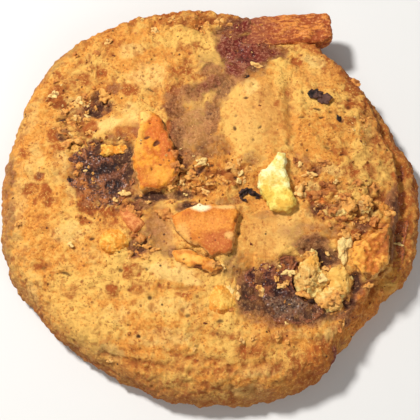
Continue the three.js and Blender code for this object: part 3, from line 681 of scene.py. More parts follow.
def merged_copy(node):
    """A CAD node's mesh in millimetres, with its loose triangles joined."""
    bm = bmesh.new()
    bm.from_mesh(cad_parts[node].data)
    bmesh.ops.scale(bm, vec=(1 / MM, 1 / MM, 1 / MM), verts=bm.verts)
    bmesh.ops.remove_doubles(bm, verts=bm.verts, dist=WELD)
    return bm


def remeshed(bm, voxel):
    """The same solid with an even fine mesh."""
    mesh = bpy.data.meshes.new("fine")
    bm.to_mesh(mesh)
    bm.free()
    block = bpy.data.objects.new("fine", mesh)
    bpy.context.scene.collection.objects.link(block)
    remesh = block.modifiers.new("fine", "REMESH")
    remesh.mode = "VOXEL"
    remesh.voxel_size = voxel
    fine = bmesh.new()
    fine.from_object(block, bpy.context.evaluated_depsgraph_get())
    bpy.data.objects.remove(block)
    bpy.data.meshes.remove(mesh)
    return fine


def weathered(bm, smoothing, wear):
    """Rounds a mesh off, then moves its points along their normals by wear(points, normals)."""
    for _ in range(smoothing):
        bmesh.ops.smooth_vert(
            bm, verts=bm.verts, factor=0.5, use_axis_x=True, use_axis_y=True, use_axis_z=True
        )
    bm.normal_update()
    points = np.array([vert.co for vert in bm.verts])
    lifts = wear(points, np.array([vert.normal for vert in bm.verts]))
    relief = bm.verts.layers.float.new("relief")
    for vert, lift in zip(bm.verts, lifts):
        vert.co += vert.normal * lift
        vert[relief] = lift
    for face in bm.faces:
        face.smooth = True


def patch(w, place, x, y, half_x, half_y):
    """A soft-edged oval, ragged at its rim: 1 inside, 0 outside."""
    rough = clouds(w, place, 1.6, 4, 0.6)
    east = (w.node("SeparateXYZ", {0: place}) - x) * (1 / half_x)
    north = (w.node("SeparateXYZ", {0: place}, output=1) - y) * (1 / half_y)
    return (east * east + north * north + (rough - 0.5) * 1.6).step(2, 0)


def jam_wear(points, normals):
    """Folds and buried seeds on what faces up, and a slow swell all over."""
    folds = 0.45 * grainy(points, 2.4) + 0.3 * grainy(points, 1) + 0.2 * grainy(points, 0.55)
    seeds = 0.22 * pits(points, 0.9, 0.5, 0.4)
    return (folds + seeds - 0.5) * np.maximum(0, normals[:, 2]) + 0.35 * grainy(points, 1.7, 40)


def jam_look(dark, light, edge, cores):
    def look(w, place):
        relief = painted(w, "relief") + 0.5
        middle, fine = clouds(w, place, 1.6, 4, 0.6), clouds(w, place, 0.4, 4, 0.7)
        inner = (middle + relief * 0.3).step(0.4, 0.62).mix(dark, light)
        colour = (middle + (fine - 0.5) * 0.5).step(0.4, 0.6).mix(light, edge)
        for core in cores:
            colour = patch(w, place, *core).mix(colour, inner)
        skin = patch(w, place, *GREY_SKIN) * fine.step(0.4, 0.54)
        colour = (skin * 0.75).mix(colour, srgb(118, 102, 78))
        colour = (patch(w, place, *WET_SPOT) * 0.85).mix(colour, srgb(52, 14, 12))
        colour = (fine.step(0.5, 0.64) * 0.5).mix(colour, srgb(168, 112, 78))
        colour = (dots(w, place, 0.9, 0.28, 0.35) * 0.7).mix(colour, srgb(206, 152, 108))
        # Painted glints: tiny grey-white specks on the skin.
        colour = (dots(w, place, 0.5, 0.32, 0.3) * 0.7).mix(colour, srgb(214, 190, 172))
        colour = (fine.step(0.48, 0.36) * 0.7).mix(colour, srgb(48, 26, 22))
        # Painted shade in the hollows of the skin.
        colour = (relief.step(0, -0.4) * 0.6).mix(colour, srgb(44, 24, 20))
        return colour, 0.4 + fine * 0.35, fine * 0.4 + dots(w, place, 0.9, 0.32, 0.45) * 0.15
    return look


STICKY = {"Coat Weight": 0.14, "Coat Roughness": 0.22, "Specular IOR Level": 0.2}
for node, colours in POOLS.items():
    jam = remeshed(merged_copy(node), JAM_VOXEL)
    weathered(jam, smoothing=9, wear=jam_wear)
    jam_piece = finished(jam, "baked_" + node)
    jam_piece.data.materials.append(food_material("baked_" + node, jam_look(*colours), **STICKY))
    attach(jam_piece, "root")
    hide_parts(node)


# ---------------------------------------------------------------------------------------------
# The fruit strip: a flat tongue of pastry soaked with fruit syrup, baked into the back edge so
# that its end sticks out over it. Orange-brown and sticky, redder where the jam meets it.

# The dent is a dark oval of painted shade at the jam's end, as middle x and y and half sizes.
STRIP_VOXEL = 0.3
STRIP_DENT = (22.6, 32.4, 2, 0.7)


def strip_wear(points, normals):
    """Fibres along the strip, over grains and a slow swell."""
    stretched = points * (0.45, 1, 1)
    fibres = 0.35 * grainy(stretched, 1.1) + 0.2 * grainy(stretched, 0.6)
    return 0.35 * grainy(points, 3) + fibres + 0.2 * grains_of(points, 1) - 0.2


def strip_look(w, place):
    middle, fine = clouds(w, place, 2.2, 4, 0.6), clouds(w, place, 0.5, 4, 0.7)
    relief = painted(w, "relief")
    east = w.node("SeparateXYZ", {0: place})
    fibre = clouds(w, w.node("VectorMath", {0: place, 1: (0.35, 1, 1)}, operation="MULTIPLY"), 0.6)
    colour = (fibre + relief * 0.3).step(0.38, 0.62).mix(srgb(164, 76, 30), srgb(224, 138, 58))
    colour = ((east + (middle - 0.5) * 14).step(18, 8) * 0.8).mix(colour, srgb(138, 68, 48))
    colour = (fine.step(0.52, 0.64) * 0.55).mix(colour, srgb(238, 168, 104))
    colour = (fine.step(0.47, 0.34) * 0.6).mix(colour, srgb(110, 48, 28))
    # Painted shade in the dent at the jam's end.
    colour = (patch(w, place, *STRIP_DENT) * 0.6).mix(colour, srgb(110, 52, 28))
    return colour, 0.42 + fine * 0.3, fine * 0.35 + middle * 0.2


strip = remeshed(merged_copy("fruit_strip"), STRIP_VOXEL)
weathered(strip, smoothing=6, wear=strip_wear)
strip_piece = finished(strip, "baked_fruit_strip")
strip_piece.data.materials.append(food_material("fruit_strip", strip_look, **DRY))
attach(strip_piece, "root")
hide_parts("fruit_strip")


# ---------------------------------------------------------------------------------------------
# Broken biscuit: four bits of crisp biscuit pressed into the dough, skin up. The baked skin is
# smooth and orange-gold, the broken sides are pale and crumbly.

# Each bit: the dark and the light of its skin, how bumpy the skin is, how grainy.
BISCUITS = {
    "biscuit_tall": (srgb(194, 98, 20), srgb(224, 142, 36), 1.3, 0.3),
    "biscuit_centre": (srgb(196, 102, 28), srgb(224, 136, 44), 0.6, 0.05),
    "biscuit_slab": (srgb(204, 112, 32), srgb(238, 162, 64), 1.2, 0.3),
    "biscuit_right": (srgb(192, 108, 34), srgb(240, 168, 72), 1.4, 1),
}
BISCUIT_VOXEL = 0.26

# Bites in the skin and the shadowed edges of chips, which the skin's colour darkens with painted
# shade: middle x and y, half sizes, turn, depth.
BITES = [
    (-12.7, 9.5, 0.8, 0.4, 0, 0.8), (-10.7, 8.3, 0.75, 0.35, 28, 0.9),
    (-12, 12.7, 0.3, 0.3, 0, 0.7), (-8.2, 6.8, 0.4, 0.35, 0, 0.7), (-11.5, 3.1, 0.3, 0.3, 0, 0.7),
    (-9.7, 3.9, 0.35, 0.3, 0, 0.7), (-9, 13.2, 0.7, 0.4, -40, 0.9), (-2, -17.3, 0.8, 0.35, -15, 1),
    (5.4, -7.9, 0.4, 0.5, 0, 0.6), (-2.6, -13.7, 1.4, 0.3, -18, 1), (0, -14.9, 1.6, 0.3, -32, 1),
    (1.6, -16, 0.8, 0.3, -40, 1),
]


def bitten(points):
    """Where small pieces broke out of the skin: 1 in the middle of a bite, 0 outside."""
    x, y = points[:, 0] + 0.5 * grainy(points, 1.1, 4), points[:, 1] + 0.5 * grainy(points, 1.1, 8)
    return cover(BITES, x, y)


def broken_wear(bumpy, grain=0):
    """A skin with bites in it on what faces up, and torn crumb on the sides."""
    def wear(points, normals):
        side = 1 - np.maximum(0, normals[:, 2]) ** 2
        skin = 0.26 * grainy(points, 2.2) + 0.16 * grainy(points, 1)
        skin = bumpy * skin - 0.25 * pits(points, 2, 0.35) - 0.4 * bitten(points)
        skin += grain * (0.9 * grains_of(points, 1) + 0.4 * grainy(points, 0.6))
        torn = 0.5 * grainy(points, 1.3) + 0.5 * grains_of(points, 0.95)
        return skin * (1 - side) + torn * side * min(1, bumpy)
    return wear


# Where the skin is darker or paler: middle x and y, half sizes, strength, colour.
SHADES = [
    (-10, 11.6, 2, 3, 0.9, srgb(208, 104, 30)), (-7.6, 8.6, 2, 4, 0.9, srgb(196, 98, 34)),
    (-13.6, 14.6, 1.6, 1.6, 0.8, srgb(250, 208, 112)),
    (-14.2, 9.8, 1.1, 4, 0.6, srgb(244, 184, 76)), (-10, 1.8, 3, 2, 0.5, srgb(240, 170, 62)),
    (2, -12.5, 4, 2.6, 0.8, srgb(190, 98, 44)), (-1, -8.6, 5, 1.6, 0.6, srgb(236, 152, 64)),
    (-5.4, -11.4, 1.6, 2.4, 0.7, srgb(238, 184, 98)),
    (-3.6, -13, 1.8, 0.8, 0.6, srgb(240, 184, 96)),
    (3.4, -5.2, 2.4, 0.5, 0.7, srgb(248, 200, 120)),
    (-1.6, -5.2, 1.9, 0.9, 1, srgb(254, 236, 186)), (4.1, -11, 0.9, 0.7, 0.9, srgb(240, 180, 100)),
    (-4, -15.4, 1.8, 0.8, 0.7, srgb(248, 188, 86)),
    (1.6, -16.6, 1.6, 0.7, 0.7, srgb(238, 178, 104)),
    (35.6, -11.4, 1.2, 3, 0.8, srgb(168, 92, 38)),
    (29.4, -14.2, 1.4, 2.4, 0.6, srgb(240, 172, 68)),
]


def biscuit_look(skin_colour, glow_colour, grain):
    def look(w, place):
        middle, fine = clouds(w, place, 2.4, 4, 0.6), clouds(w, place, 0.42, 4, 0.7)
        relief = painted(w, "relief")
        up = w.node("SeparateXYZ", {0: w.node("NewGeometry", output="Normal")}, output=2)
        torn = (up + (middle - 0.5) * 1.2 + (fine - 0.5) * 0.6 + grain * 0.1).step(0.75, 0.4)
        colour = (middle + relief * 0.35).step(0.4, 0.62).mix(skin_colour, glow_colour)
        for *oval, strength, shade in SHADES:
            colour = (patch(w, place, *oval) * strength).mix(colour, shade)
        colour = (fine.step(0.53, 0.66) * 0.4).mix(colour, srgb(246, 188, 88))
        colour = (fine.step(0.47, 0.34) * 0.55).mix(colour, srgb(166, 82, 30))
        colour = (dots(w, place, 1.5, 0.2, 0.4) * 0.8).mix(colour, srgb(104, 50, 22))
        crumbs = (fine + relief * 0.5).step(0.36, 0.6)
        colour = (torn * 0.8).mix(colour, crumbs.mix(srgb(186, 112, 50), srgb(240, 188, 108)))
        # Painted shade in the hollows of a grainy skin, then in the bites and along the chip edges.
        colour = (relief.step(-0.1, -0.5) * grain * 0.7).mix(colour, srgb(146, 74, 32))
        colour = (painted(w, "bite").step(0.2, 0.7) * 0.85).mix(colour, srgb(84, 42, 18))
        return colour, 0.6 + torn * 0.2, fine * (0.16 + torn * 0.3)
    return look


for node, (skin_colour, glow_colour, bumpy, grain) in BISCUITS.items():
    biscuit = remeshed(merged_copy(node), BISCUIT_VOXEL)
    weathered(biscuit, smoothing=3, wear=broken_wear(bumpy, grain))
    bite = biscuit.verts.layers.float.new("bite")
    for vert, depth in zip(biscuit.verts, bitten(np.array([vert.co for vert in biscuit.verts]))):
        vert[bite] = depth
    biscuit_piece = finished(biscuit, "broken_" + node)
    biscuit_finish = food_material(node, biscuit_look(skin_colour, glow_colour, grain), **DRY)
    biscuit_piece.data.materials.append(biscuit_finish)
    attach(biscuit_piece, "root")
    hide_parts(node)


# ---------------------------------------------------------------------------------------------
# The cream chunk: a dry lump of pale yellow cream filling, chalky and flat on top, that browned
# a little along its front edge.

def cream_look(w, place):
    middle, fine = clouds(w, place, 1.8, 4, 0.6), clouds(w, place, 0.45, 4, 0.7)
    relief = painted(w, "relief")
    north = w.node("SeparateXYZ", {0: place}, output=1)
    pale = (middle + relief * 0.3).step(0.4, 0.62).mix(srgb(240, 214, 118), srgb(252, 244, 178))
    deep = (middle + relief * 0.3).step(0.4, 0.62).mix(srgb(232, 186, 72), srgb(250, 224, 112))
    colour = (north + (middle - 0.5) * 6).step(2, -2).mix(pale, deep)
    colour = ((north + (middle - 0.5) * 5).step(-3.4, -5.6) * 0.4).mix(colour, srgb(222, 150, 56))
    colour = (fine.step(0.47, 0.34) * 0.5).mix(colour, srgb(196, 140, 62))
    # Painted shade in the hollows.
    colour = (relief.step(-0.05, -0.5) * 0.5).mix(colour, srgb(190, 130, 60))
    return colour, 0.7 + fine * 0.1, fine * 0.3


cream = remeshed(merged_copy("cream_chunk"), BISCUIT_VOXEL)
weathered(cream, smoothing=3, wear=broken_wear(1))
cream_piece = finished(cream, "dry_cream_chunk")
cream_piece.data.materials.append(food_material("dry_cream", cream_look, **DRY))
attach(cream_piece, "root")
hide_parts("cream_chunk")


# ---------------------------------------------------------------------------------------------
# The pink flake: a small flat flake of dried strawberry biscuit, thin and dull. It was pressed
# on before baking, and the dough holds it half sunk.

def flake_look(w, place):
    fine, relief = clouds(w, place, 0.7, 4, 0.7), painted(w, "relief")
    colour = (fine + relief * 0.3).step(0.4, 0.62).mix(srgb(192, 104, 48), srgb(226, 148, 80))
    return colour, 0.6 + fine * 0.15, fine * 0.25


flake = remeshed(merged_copy("pink_flake"), BISCUIT_VOXEL)
weathered(flake, smoothing=2, wear=broken_wear(0.3))
flake_piece = finished(flake, "dried_pink_flake")
flake_piece.data.materials.append(food_material("pink_flake", flake_look, **DRY))
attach(flake_piece, "root")
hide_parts("pink_flake")


# ---------------------------------------------------------------------------------------------
# Crumb lumps: clumps of loose golden crumb that baked together on the top, coarse and full of
# holes. Two rounder nuggets have a smoother skin.

# Each lump, with how coarse it is.
LUMPS = {
    "nugget_left": 0.35, "nugget_front": 0.3, "crumb_lump": 0.65, "crumb_edge": 0.4,
    "crumb_right": 0.7,
}
LUMP_VOXEL = 0.22

# Knobs that spread the lumps out, as middle x and y, length, width and thickness, and the front
# nugget's lit and shaded sides, as middle x and y and half sizes.
KNOBS = {
    "nugget_left": [(-18.9, -11.5, 6.2, 5.4, 2.8)],
    "crumb_lump": [(22.2, -18.6, 4.4, 4, 2), (20.8, -21.4, 4, 3, 1.8)],
    "crumb_edge": [
        (25.7, -17.9, 4.4, 3.6, 2.4), (22.8, -22.6, 4.4, 3.4, 1.8), (24.8, -24, 4, 2.6, 1.6),
    ],
    "crumb_right": [(23.2, -3, 3.6, 2, 1.6), (31.6, -3.8, 3, 3.4, 1.6), (28.4, -6, 3, 1.8, 1.4)],
}
GLOW = (2.6, -23.4, 2.4, 1.6)
SHADOW = (2, -26, 2, 0.8)

# Where the lumps differ in colour: middle x and y, half sizes, strength, colour.
LUMP_SHADES = [
    (20.2, -15.6, 1.6, 1.4, 0.8, srgb(236, 168, 70)),
    (19.4, -19, 2.4, 2.4, 0.5, srgb(214, 170, 100)), (26, -18, 2.2, 2.4, 0.8, srgb(246, 188, 90)),
    (24, -23.4, 3, 1.6, 0.5, srgb(226, 176, 104)), (22.6, -2.6, 2, 1.6, 0.9, srgb(224, 118, 46)),
    (25, -4.4, 1.8, 1.8, 0.8, srgb(152, 82, 44)), (28.4, -3, 1.6, 2, 0.7, srgb(234, 168, 90)),
    (32.5, -3.5, 1.4, 2.8, 0.8, srgb(250, 212, 126)), (30.4, -4.6, 0.8, 2, 0.7, srgb(150, 78, 40)),
]


def lump_wear(coarse):
    """Clumps of crumb with clefts between them, as deep as the lump is coarse."""
    def wear(points, normals):
        clumps = 0.4 * grains_of(points, 2.7) + 0.6 * grainy(points, 2)
        clefts = crevices(points, 2.2, 0.2) * (grainy(points, 2, 30) > 0)
        crumbs = 0.5 * grains_of(points, 0.65) + 0.5 * grainy(points, 0.5) + 0.3 * grainy(points, 1)
        return coarse * (clumps - 0.5 * clefts + crumbs) - 0.1
    return wear


def nugget_look(w, place):
    middle, fine = clouds(w, place, 1.8, 4, 0.6), clouds(w, place, 0.45, 4, 0.7)
    relief = painted(w, "relief")
    colour = (middle + relief * 0.4).step(0.38, 0.62).mix(srgb(230, 146, 46), srgb(248, 188, 80))
    colour = (patch(w, place, *GLOW) * 0.35).mix(colour, srgb(252, 204, 104))
    colour = (patch(w, place, *SHADOW) * 0.6).mix(colour, srgb(214, 124, 44))
    colour = (fine.step(0.53, 0.66) * 0.5).mix(colour, srgb(254, 222, 132))
    colour = (fine.step(0.46, 0.34) * 0.5).mix(colour, srgb(196, 116, 42))
    return colour, 0.7 + fine * 0.1, fine * 0.3


def lump_look(w, place):
    middle, fine = clouds(w, place, 1.6, 4, 0.6), clouds(w, place, 0.42, 4, 0.7)
    relief = painted(w, "relief")
    colour = (middle + relief * 0.3).step(0.42, 0.62).mix(srgb(232, 170, 80), srgb(250, 218, 130))
    colour = (fine.step(0.47, 0.34) * 0.5).mix(colour, srgb(166, 92, 40))
    colour = (fine.step(0.53, 0.66) * 0.5).mix(colour, srgb(250, 218, 140))
    for *oval, strength, shade in LUMP_SHADES:
        colour = (patch(w, place, *oval) * strength).mix(colour, shade)
    # Painted shade in the hollows between clumps.
    colour = (relief.step(-0.3, -0.7) * 0.8).mix(colour, srgb(132, 70, 34))
    return colour, 0.75 + fine * 0.1, fine * 0.35


nugget_finish = food_material("golden_nugget", nugget_look, **DRY)
lump_finish = food_material("golden_crumb", lump_look, **DRY)
for node, coarse in LUMPS.items():
    lump = merged_copy(node)
    for x, y, *sizes in KNOBS.get(node, []):
        knob_place = Matrix.Translation((x, y, top_height(x, y))) @ Matrix.Diagonal((*sizes, 1))
        bmesh.ops.create_icosphere(lump, subdivisions=3, radius=0.5, matrix=knob_place)
    lump = remeshed(lump, LUMP_VOXEL)
    weathered(lump, smoothing=2, wear=lump_wear(coarse))
    lump_piece = finished(lump, "baked_" + node)
    lump_piece.data.materials.append(nugget_finish if "nugget" in node else lump_finish)
    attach(lump_piece, "root")
    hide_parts(node)


# ---------------------------------------------------------------------------------------------
# Loose crumbs: torn clumps of dough and biscuit and the grains that broke off them, baked on
# where the crust tore. One joined mesh of clumps and one of grains, each at its true size.

# The clumps that stand out: middle x and y, length, width, turn, tone from 0, burnt, to 1, pale.
CLUMPS = [
    (-32.3, 21.1, 2, 1.4, 0, 1), (-27.2, 19.2, 1.6, 1.8, 0, 0.9), (-21.8, 20.2, 2.4, 2.2, 0, 0.7),
    (-28.8, 18.4, 1.6, 1.4, 0, 0.7), (-27.3, 15.3, 1.6, 1.3, 0, 0.85),
    (-25.1, 15.7, 1.6, 0.7, -25, 1), (-27.6, 10.5, 2.2, 1.8, 0, 0.75),
    (-26.2, 9.8, 1.4, 1.6, 0, 0.9), (-24.5, 11.8, 1.7, 1.1, 0, 0.75),
    (-29.4, 9.4, 1.7, 1.3, 0, 0.55), (-30.2, 16.8, 1.6, 1.2, 20, 0.6),
    (-25.6, 20.6, 1.4, 1.2, 0, 0.5), (-25.2, 3.8, 0.8, 0.6, 0, 0.95),
    (-24.5, 4.7, 0.6, 0.5, 0, 0.7), (-23.6, 3.4, 0.5, 0.5, 0, 0.6),
    (-26.6, 5.2, 1.4, 0.9, 30, 0.45), (-27.2, 3.4, 1.2, 0.9, 0, 0.5),
    (-25.6, 1.4, 1.2, 0.8, -30, 0.35), (-17, -1.2, 2.3, 1.2, 10, 0.85),
    (-18.8, -2.6, 1, 0.9, 0, 0.95), (-27.7, -12.1, 1.2, 1, 0, 0.95),
    (-38.5, -7.5, 1.1, 1.5, 0, 0.8), (-17, -4.8, 1.5, 1.6, 0, 0.3), (-15.7, -5, 1.6, 1.5, 0, 0.45),
    (-14.4, -6.2, 1.6, 1.4, 0, 0.5), (-1.6, 4.6, 2.3, 1.5, 10, 1), (-5.8, 0.8, 1.8, 1.8, 0, 0.88),
    (-4.6, -1.6, 1, 0.7, 0, 1), (-7.3, -0.4, 1.7, 1.3, 0, 0.75), (-0.8, -1.2, 2.2, 1, -30, 0.9),
    (0.2, 0.3, 1.5, 1.1, 0, 0.8), (2.2, 2.3, 1.2, 1.1, 0, 0.6), (6.3, 4.8, 1, 1.6, 0, 0.85),
    (6.5, 2.4, 1.6, 1.3, 0, 1), (6.1, 1, 0.9, 1.2, 0, 0.95), (3.5, 0.6, 2.3, 1.7, 0, 0.7),
    (-3.4, 1.8, 2, 1.6, 0, 0.6), (-6.6, 3.4, 1.6, 2, 0, 0.4), (-7, 6.4, 1.5, 2, 0, 0.35),
    (-2.2, -0.4, 1.6, 1.2, 0, 0.55), (8, 3, 1.6, 1.4, 0, 0.7), (4.4, 4, 1.8, 1.3, 0, 0.8),
    (-8.7, -6.3, 3.3, 1.8, -5, 0.52), (-12.3, -3.6, 1, 0.8, 0, 0.85),
    (-7.3, -3.5, 2.1, 1, 0, 0.65), (-13.3, -11.3, 1.7, 1.6, 0, 0.45),
    (-12.3, -12.8, 1.3, 1, 0, 0.6), (-10.3, -13.6, 2.1, 1, 0, 0.6),
    (-12.6, -15, 2, 0.9, -20, 0.75), (-14.6, -10.6, 1.4, 1.2, 0, 0.3),
    (1.4, -16.8, 1.7, 1.2, 0, 0.7), (2.8, -17, 0.9, 1.2, 0, 0.9), (18.4, -1.3, 2.3, 2.7, 10, 0.85),
    (18.6, 4.5, 1.3, 1, 0, 0.9), (17.6, 5.2, 1.1, 1.6, 0, 0.25), (20.4, 2.2, 2.1, 1.1, 0, 0.85),
    (21.2, 3.5, 2.2, 0.9, 20, 0.1), (23.4, 5, 2.4, 1.6, 0, 0.5), (22.4, -2.1, 3.2, 2, -5, 0.36),
    (20.8, -2.6, 1.1, 0.9, 0, 0.05), (23.3, 0.3, 1.7, 1.2, -30, 0.2),
    (25.6, 0.9, 1.3, 0.9, 0, 0.9), (24.7, -0.7, 1.8, 1.4, -30, 0.35), (28, -4, 2.6, 2.4, 0, 0.7),
    (27.3, -2.4, 2.1, 1.4, 0, 0.42), (25, -5.4, 1.9, 1.1, 25, 0.4), (26.4, -6.8, 2, 1.4, 0, 0.3),
    (22.6, -5.6, 1.4, 1, 0, 0.3), (19.4, 0.4, 1.4, 1, 0, 0.8), (27, -12.4, 2.2, 4.6, 5, 1),
    (27.1, -9.8, 2, 1.6, 0, 0.75), (29.4, -10.2, 1.8, 1.2, 25, 0.6),
    (31.7, -3.6, 2.1, 2.8, 0, 0.75), (31.2, -6.2, 1.7, 1.4, 0, 0.7),
    (36.7, -4.8, 2.1, 1.3, -15, 0.65), (34.4, -2.8, 1.3, 1.1, 0, 0.7),
    (33.2, -6.4, 2, 1.5, 0, 0.35), (35.4, -7.6, 1.8, 1.3, 0, 0.4), (33.6, 0.4, 2, 1.5, 0, 0.5),
    (30, 1, 1.8, 1.3, 0, 0.5), (38.8, -10.3, 1.8, 0.6, -25, 1), (15.8, -17.7, 2.4, 1, 0, 1),
    (14, -16.5, 0.9, 0.7, 0, 0.9), (13.5, -18.9, 0.9, 1.5, 0, 0.8),
    (15.4, -19.4, 1.1, 1.1, 0, 0.85), (14.4, -20.3, 1.7, 1, 0, 0.85),
    (10.3, -21.7, 1.3, 1.7, 0, 0.85), (9.8, -20.6, 1, 0.8, 0, 0.75),
    (22.2, -19, 2, 1.6, -15, 0.98), (23.3, -16.6, 1.5, 1.1, 0, 0.85), (20, -14.2, 2, 1.4, 0, 0.7),
    (19, -22, 2.4, 1.6, 0, 0.62), (24.4, -23.2, 2.6, 2, 0, 0.75), (22.6, -24, 1.8, 1.2, 0, 0.7),
    (25.6, -22, 1.8, 1.4, 0, 0.65), (4.1, -21.2, 0.8, 2.4, 35, 1), (5.8, -22.7, 0.8, 1.3, 0, 0.9),
    (5.9, -20.9, 0.7, 0.9, 0, 0.85), (6.3, -31.3, 1.2, 1.2, 0, 0.85),
    (-2.8, -33.1, 0.9, 0.7, 0, 0.85), (-19.3, -34.5, 1.3, 0.9, 0, 0.85),
    (8.8, -31, 1.4, 1.1, 0, 0.8), (13.5, -30.5, 1.2, 1.6, 0, 0.75), (-8, 39, 1.8, 1.2, 0, 0.8),
    (2.4, 38.8, 1.6, 1.4, 0, 0.8), (-11.5, 36, 1.6, 1, -30, 0.9), (10, 27, 2.2, 1.1, -10, 0.85),
    (19.4, 30.4, 1.4, 0.9, 30, 0.6), (-21.4, 33.4, 1.4, 1, 30, 0.85),
    (31.8, -19.8, 1.6, 1, 20, 0.65), (33.6, -18.6, 1.4, 0.9, 10, 0.65),
    (26.4, -27.6, 1.2, 0.8, 60, 0.8), (-33.6, 14.6, 1.2, 0.9, 0, 0.6),
    (4.4, -25.4, 1, 0.8, 0, 0.4), (31.2, 24.6, 1.8, 2, 20, 0.5),
]

# Many smaller ones: how many, size range, fineness of the mesh, tone range.
STREWN = {
    "crumb_clumps": [(120, (0.8, 1.6), 2, (0.35, 0.75)), (40, (0.6, 1.1), 2, (0.85, 1))],
    "crumb_grains": [
        (400, (0.3, 0.8), 2, (0.35, 0.75)), (280, (0.3, 0.7), 2, (0, 0.3)),
        (200, (0.25, 0.6), 2, (0.8, 1)),
    ],
}
SEED = 11

# Some of the strewn ones fell anywhere on the top, up to this share of the way to its rim. The
# rest fell on a crumbly patch, this widely for its size. None lie lower than this.
STRAY_SHARE = {"crumb_clumps": 0.04, "crumb_grains": 0.2}
FURTHEST_OUT = 0.99
SCATTER = 0.55
LOWEST_CRUMB = 4

# One this far over the dough fell on another piece, and only this share of those stay there.
CLIMB = 0.25
CLIMB_SHARE = 0.12

# How far a crumb's middle lies over the crust, as a share of its size.
RAISED = {"crumb_clumps": -0.1, "crumb_grains": 0}
PLACED_RAISED = 0.05

# A placed clump is made this much larger than its row and this thick for its smaller side, with
# a finer mesh from this length.
CLUMP_SPREAD = 1.1
CLUMP_THICKNESS = 0.75
LARGE_CLUMP = 1.9

# Where a drop starts, and how many points a handful of crumbs has before it is joined on.
DROP_HEIGHT = 30
HANDFUL = 3000


def ground(pieces):
    """The finished surface of some pieces, to drop things on."""
    bm = bmesh.new()
    for piece in pieces:
        bm.from_mesh(piece.data)
    tree = BVHTree.FromBMesh(bm)
    bm.free()
    return tree


scene_meshes = [piece for piece in bpy.context.scene.objects if piece.type == "MESH"]
laid = ground([piece for piece in scene_meshes if piece.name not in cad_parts])
bare_dough = ground([dough_piece])


def dropped(x, y, tree=laid):
    """The surface point and normal under a point of the plan, in millimetres."""
    spot, normal, _, _ = tree.ray_cast(Vector((x, y, DROP_HEIGHT)) * MM, Vector((0, 0, -1)))
    return (spot / MM, normal) if spot else (None, None)


def empty_hand():
    """A mesh for the next crumbs, each with a tone of its own and its hollows marked."""
    handful = bmesh.new()
    handful.verts.layers.float.new("tone")
    handful.verts.layers.float.new("relief")
    return handful


def crumb(bm, middle, sizes, turn, fineness, draw, tone):
    """One uneven crumb, lumpy like torn bread."""
    tone_layer, relief = (bm.verts.layers.float[name] for name in ("tone", "relief"))
    place = Matrix.Translation(middle) @ turn @ Matrix.Diagonal((*sizes, 1))
    made = bmesh.ops.create_icosphere(bm, subdivisions=fineness, radius=0.5, matrix=place)
    shift = Vector((draw.uniform(0, 50), draw.uniform(0, 50), 0))
    spread = sum(sizes) / 3
    for vert in made["verts"]:
        away = vert.co - middle
        lumps = 0.4 - noise.voronoi(away / min(0.8, spread * 0.6) + shift)[0][0]
        bump = 0.9 * noise.noise(away / spread * 2.2 + shift) + 0.7 * lumps
        vert.co = middle + away * (1 + bump)
        vert[tone_layer] = tone + 0.15 * noise.noise(away * 1.5 + shift)
        vert[relief] = bump


def crumb_look(w, place):
    middle, fine = clouds(w, place, 1.1, 4, 0.6), clouds(w, place, 0.4, 4, 0.7)
    tone = painted(w, "tone") + (middle - 0.5) * 0.35
    colour = tone.step(0, 0.45).mix(srgb(112, 52, 26), srgb(204, 126, 60))
    colour = tone.step(0.4, 0.7).mix(colour, srgb(230, 162, 78))
    colour = tone.step(0.75, 1.05).mix(colour, srgb(248, 212, 134))
    colour = (fine.step(0.47, 0.34) * 0.5).mix(colour, srgb(160, 88, 42))
    colour = (fine.step(0.53, 0.64) * 0.4 * tone).mix(colour, srgb(250, 218, 144))
    # Painted shade in each crumb's hollows.
    colour = (painted(w, "relief").step(0, -0.45) * 0.6).mix(colour, srgb(120, 62, 32))
    return colour, 0.75 + fine * 0.1, fine * 0.3


def baked_on(grains, handful):
    """Joins a handful of crumbs to the rest of their kind. Many small meshes join faster."""
    mesh = bpy.data.meshes.new("handful")
    handful.to_mesh(mesh)
    handful.free()
    grains.from_mesh(mesh)
    bpy.data.meshes.remove(mesh)
    return empty_hand()


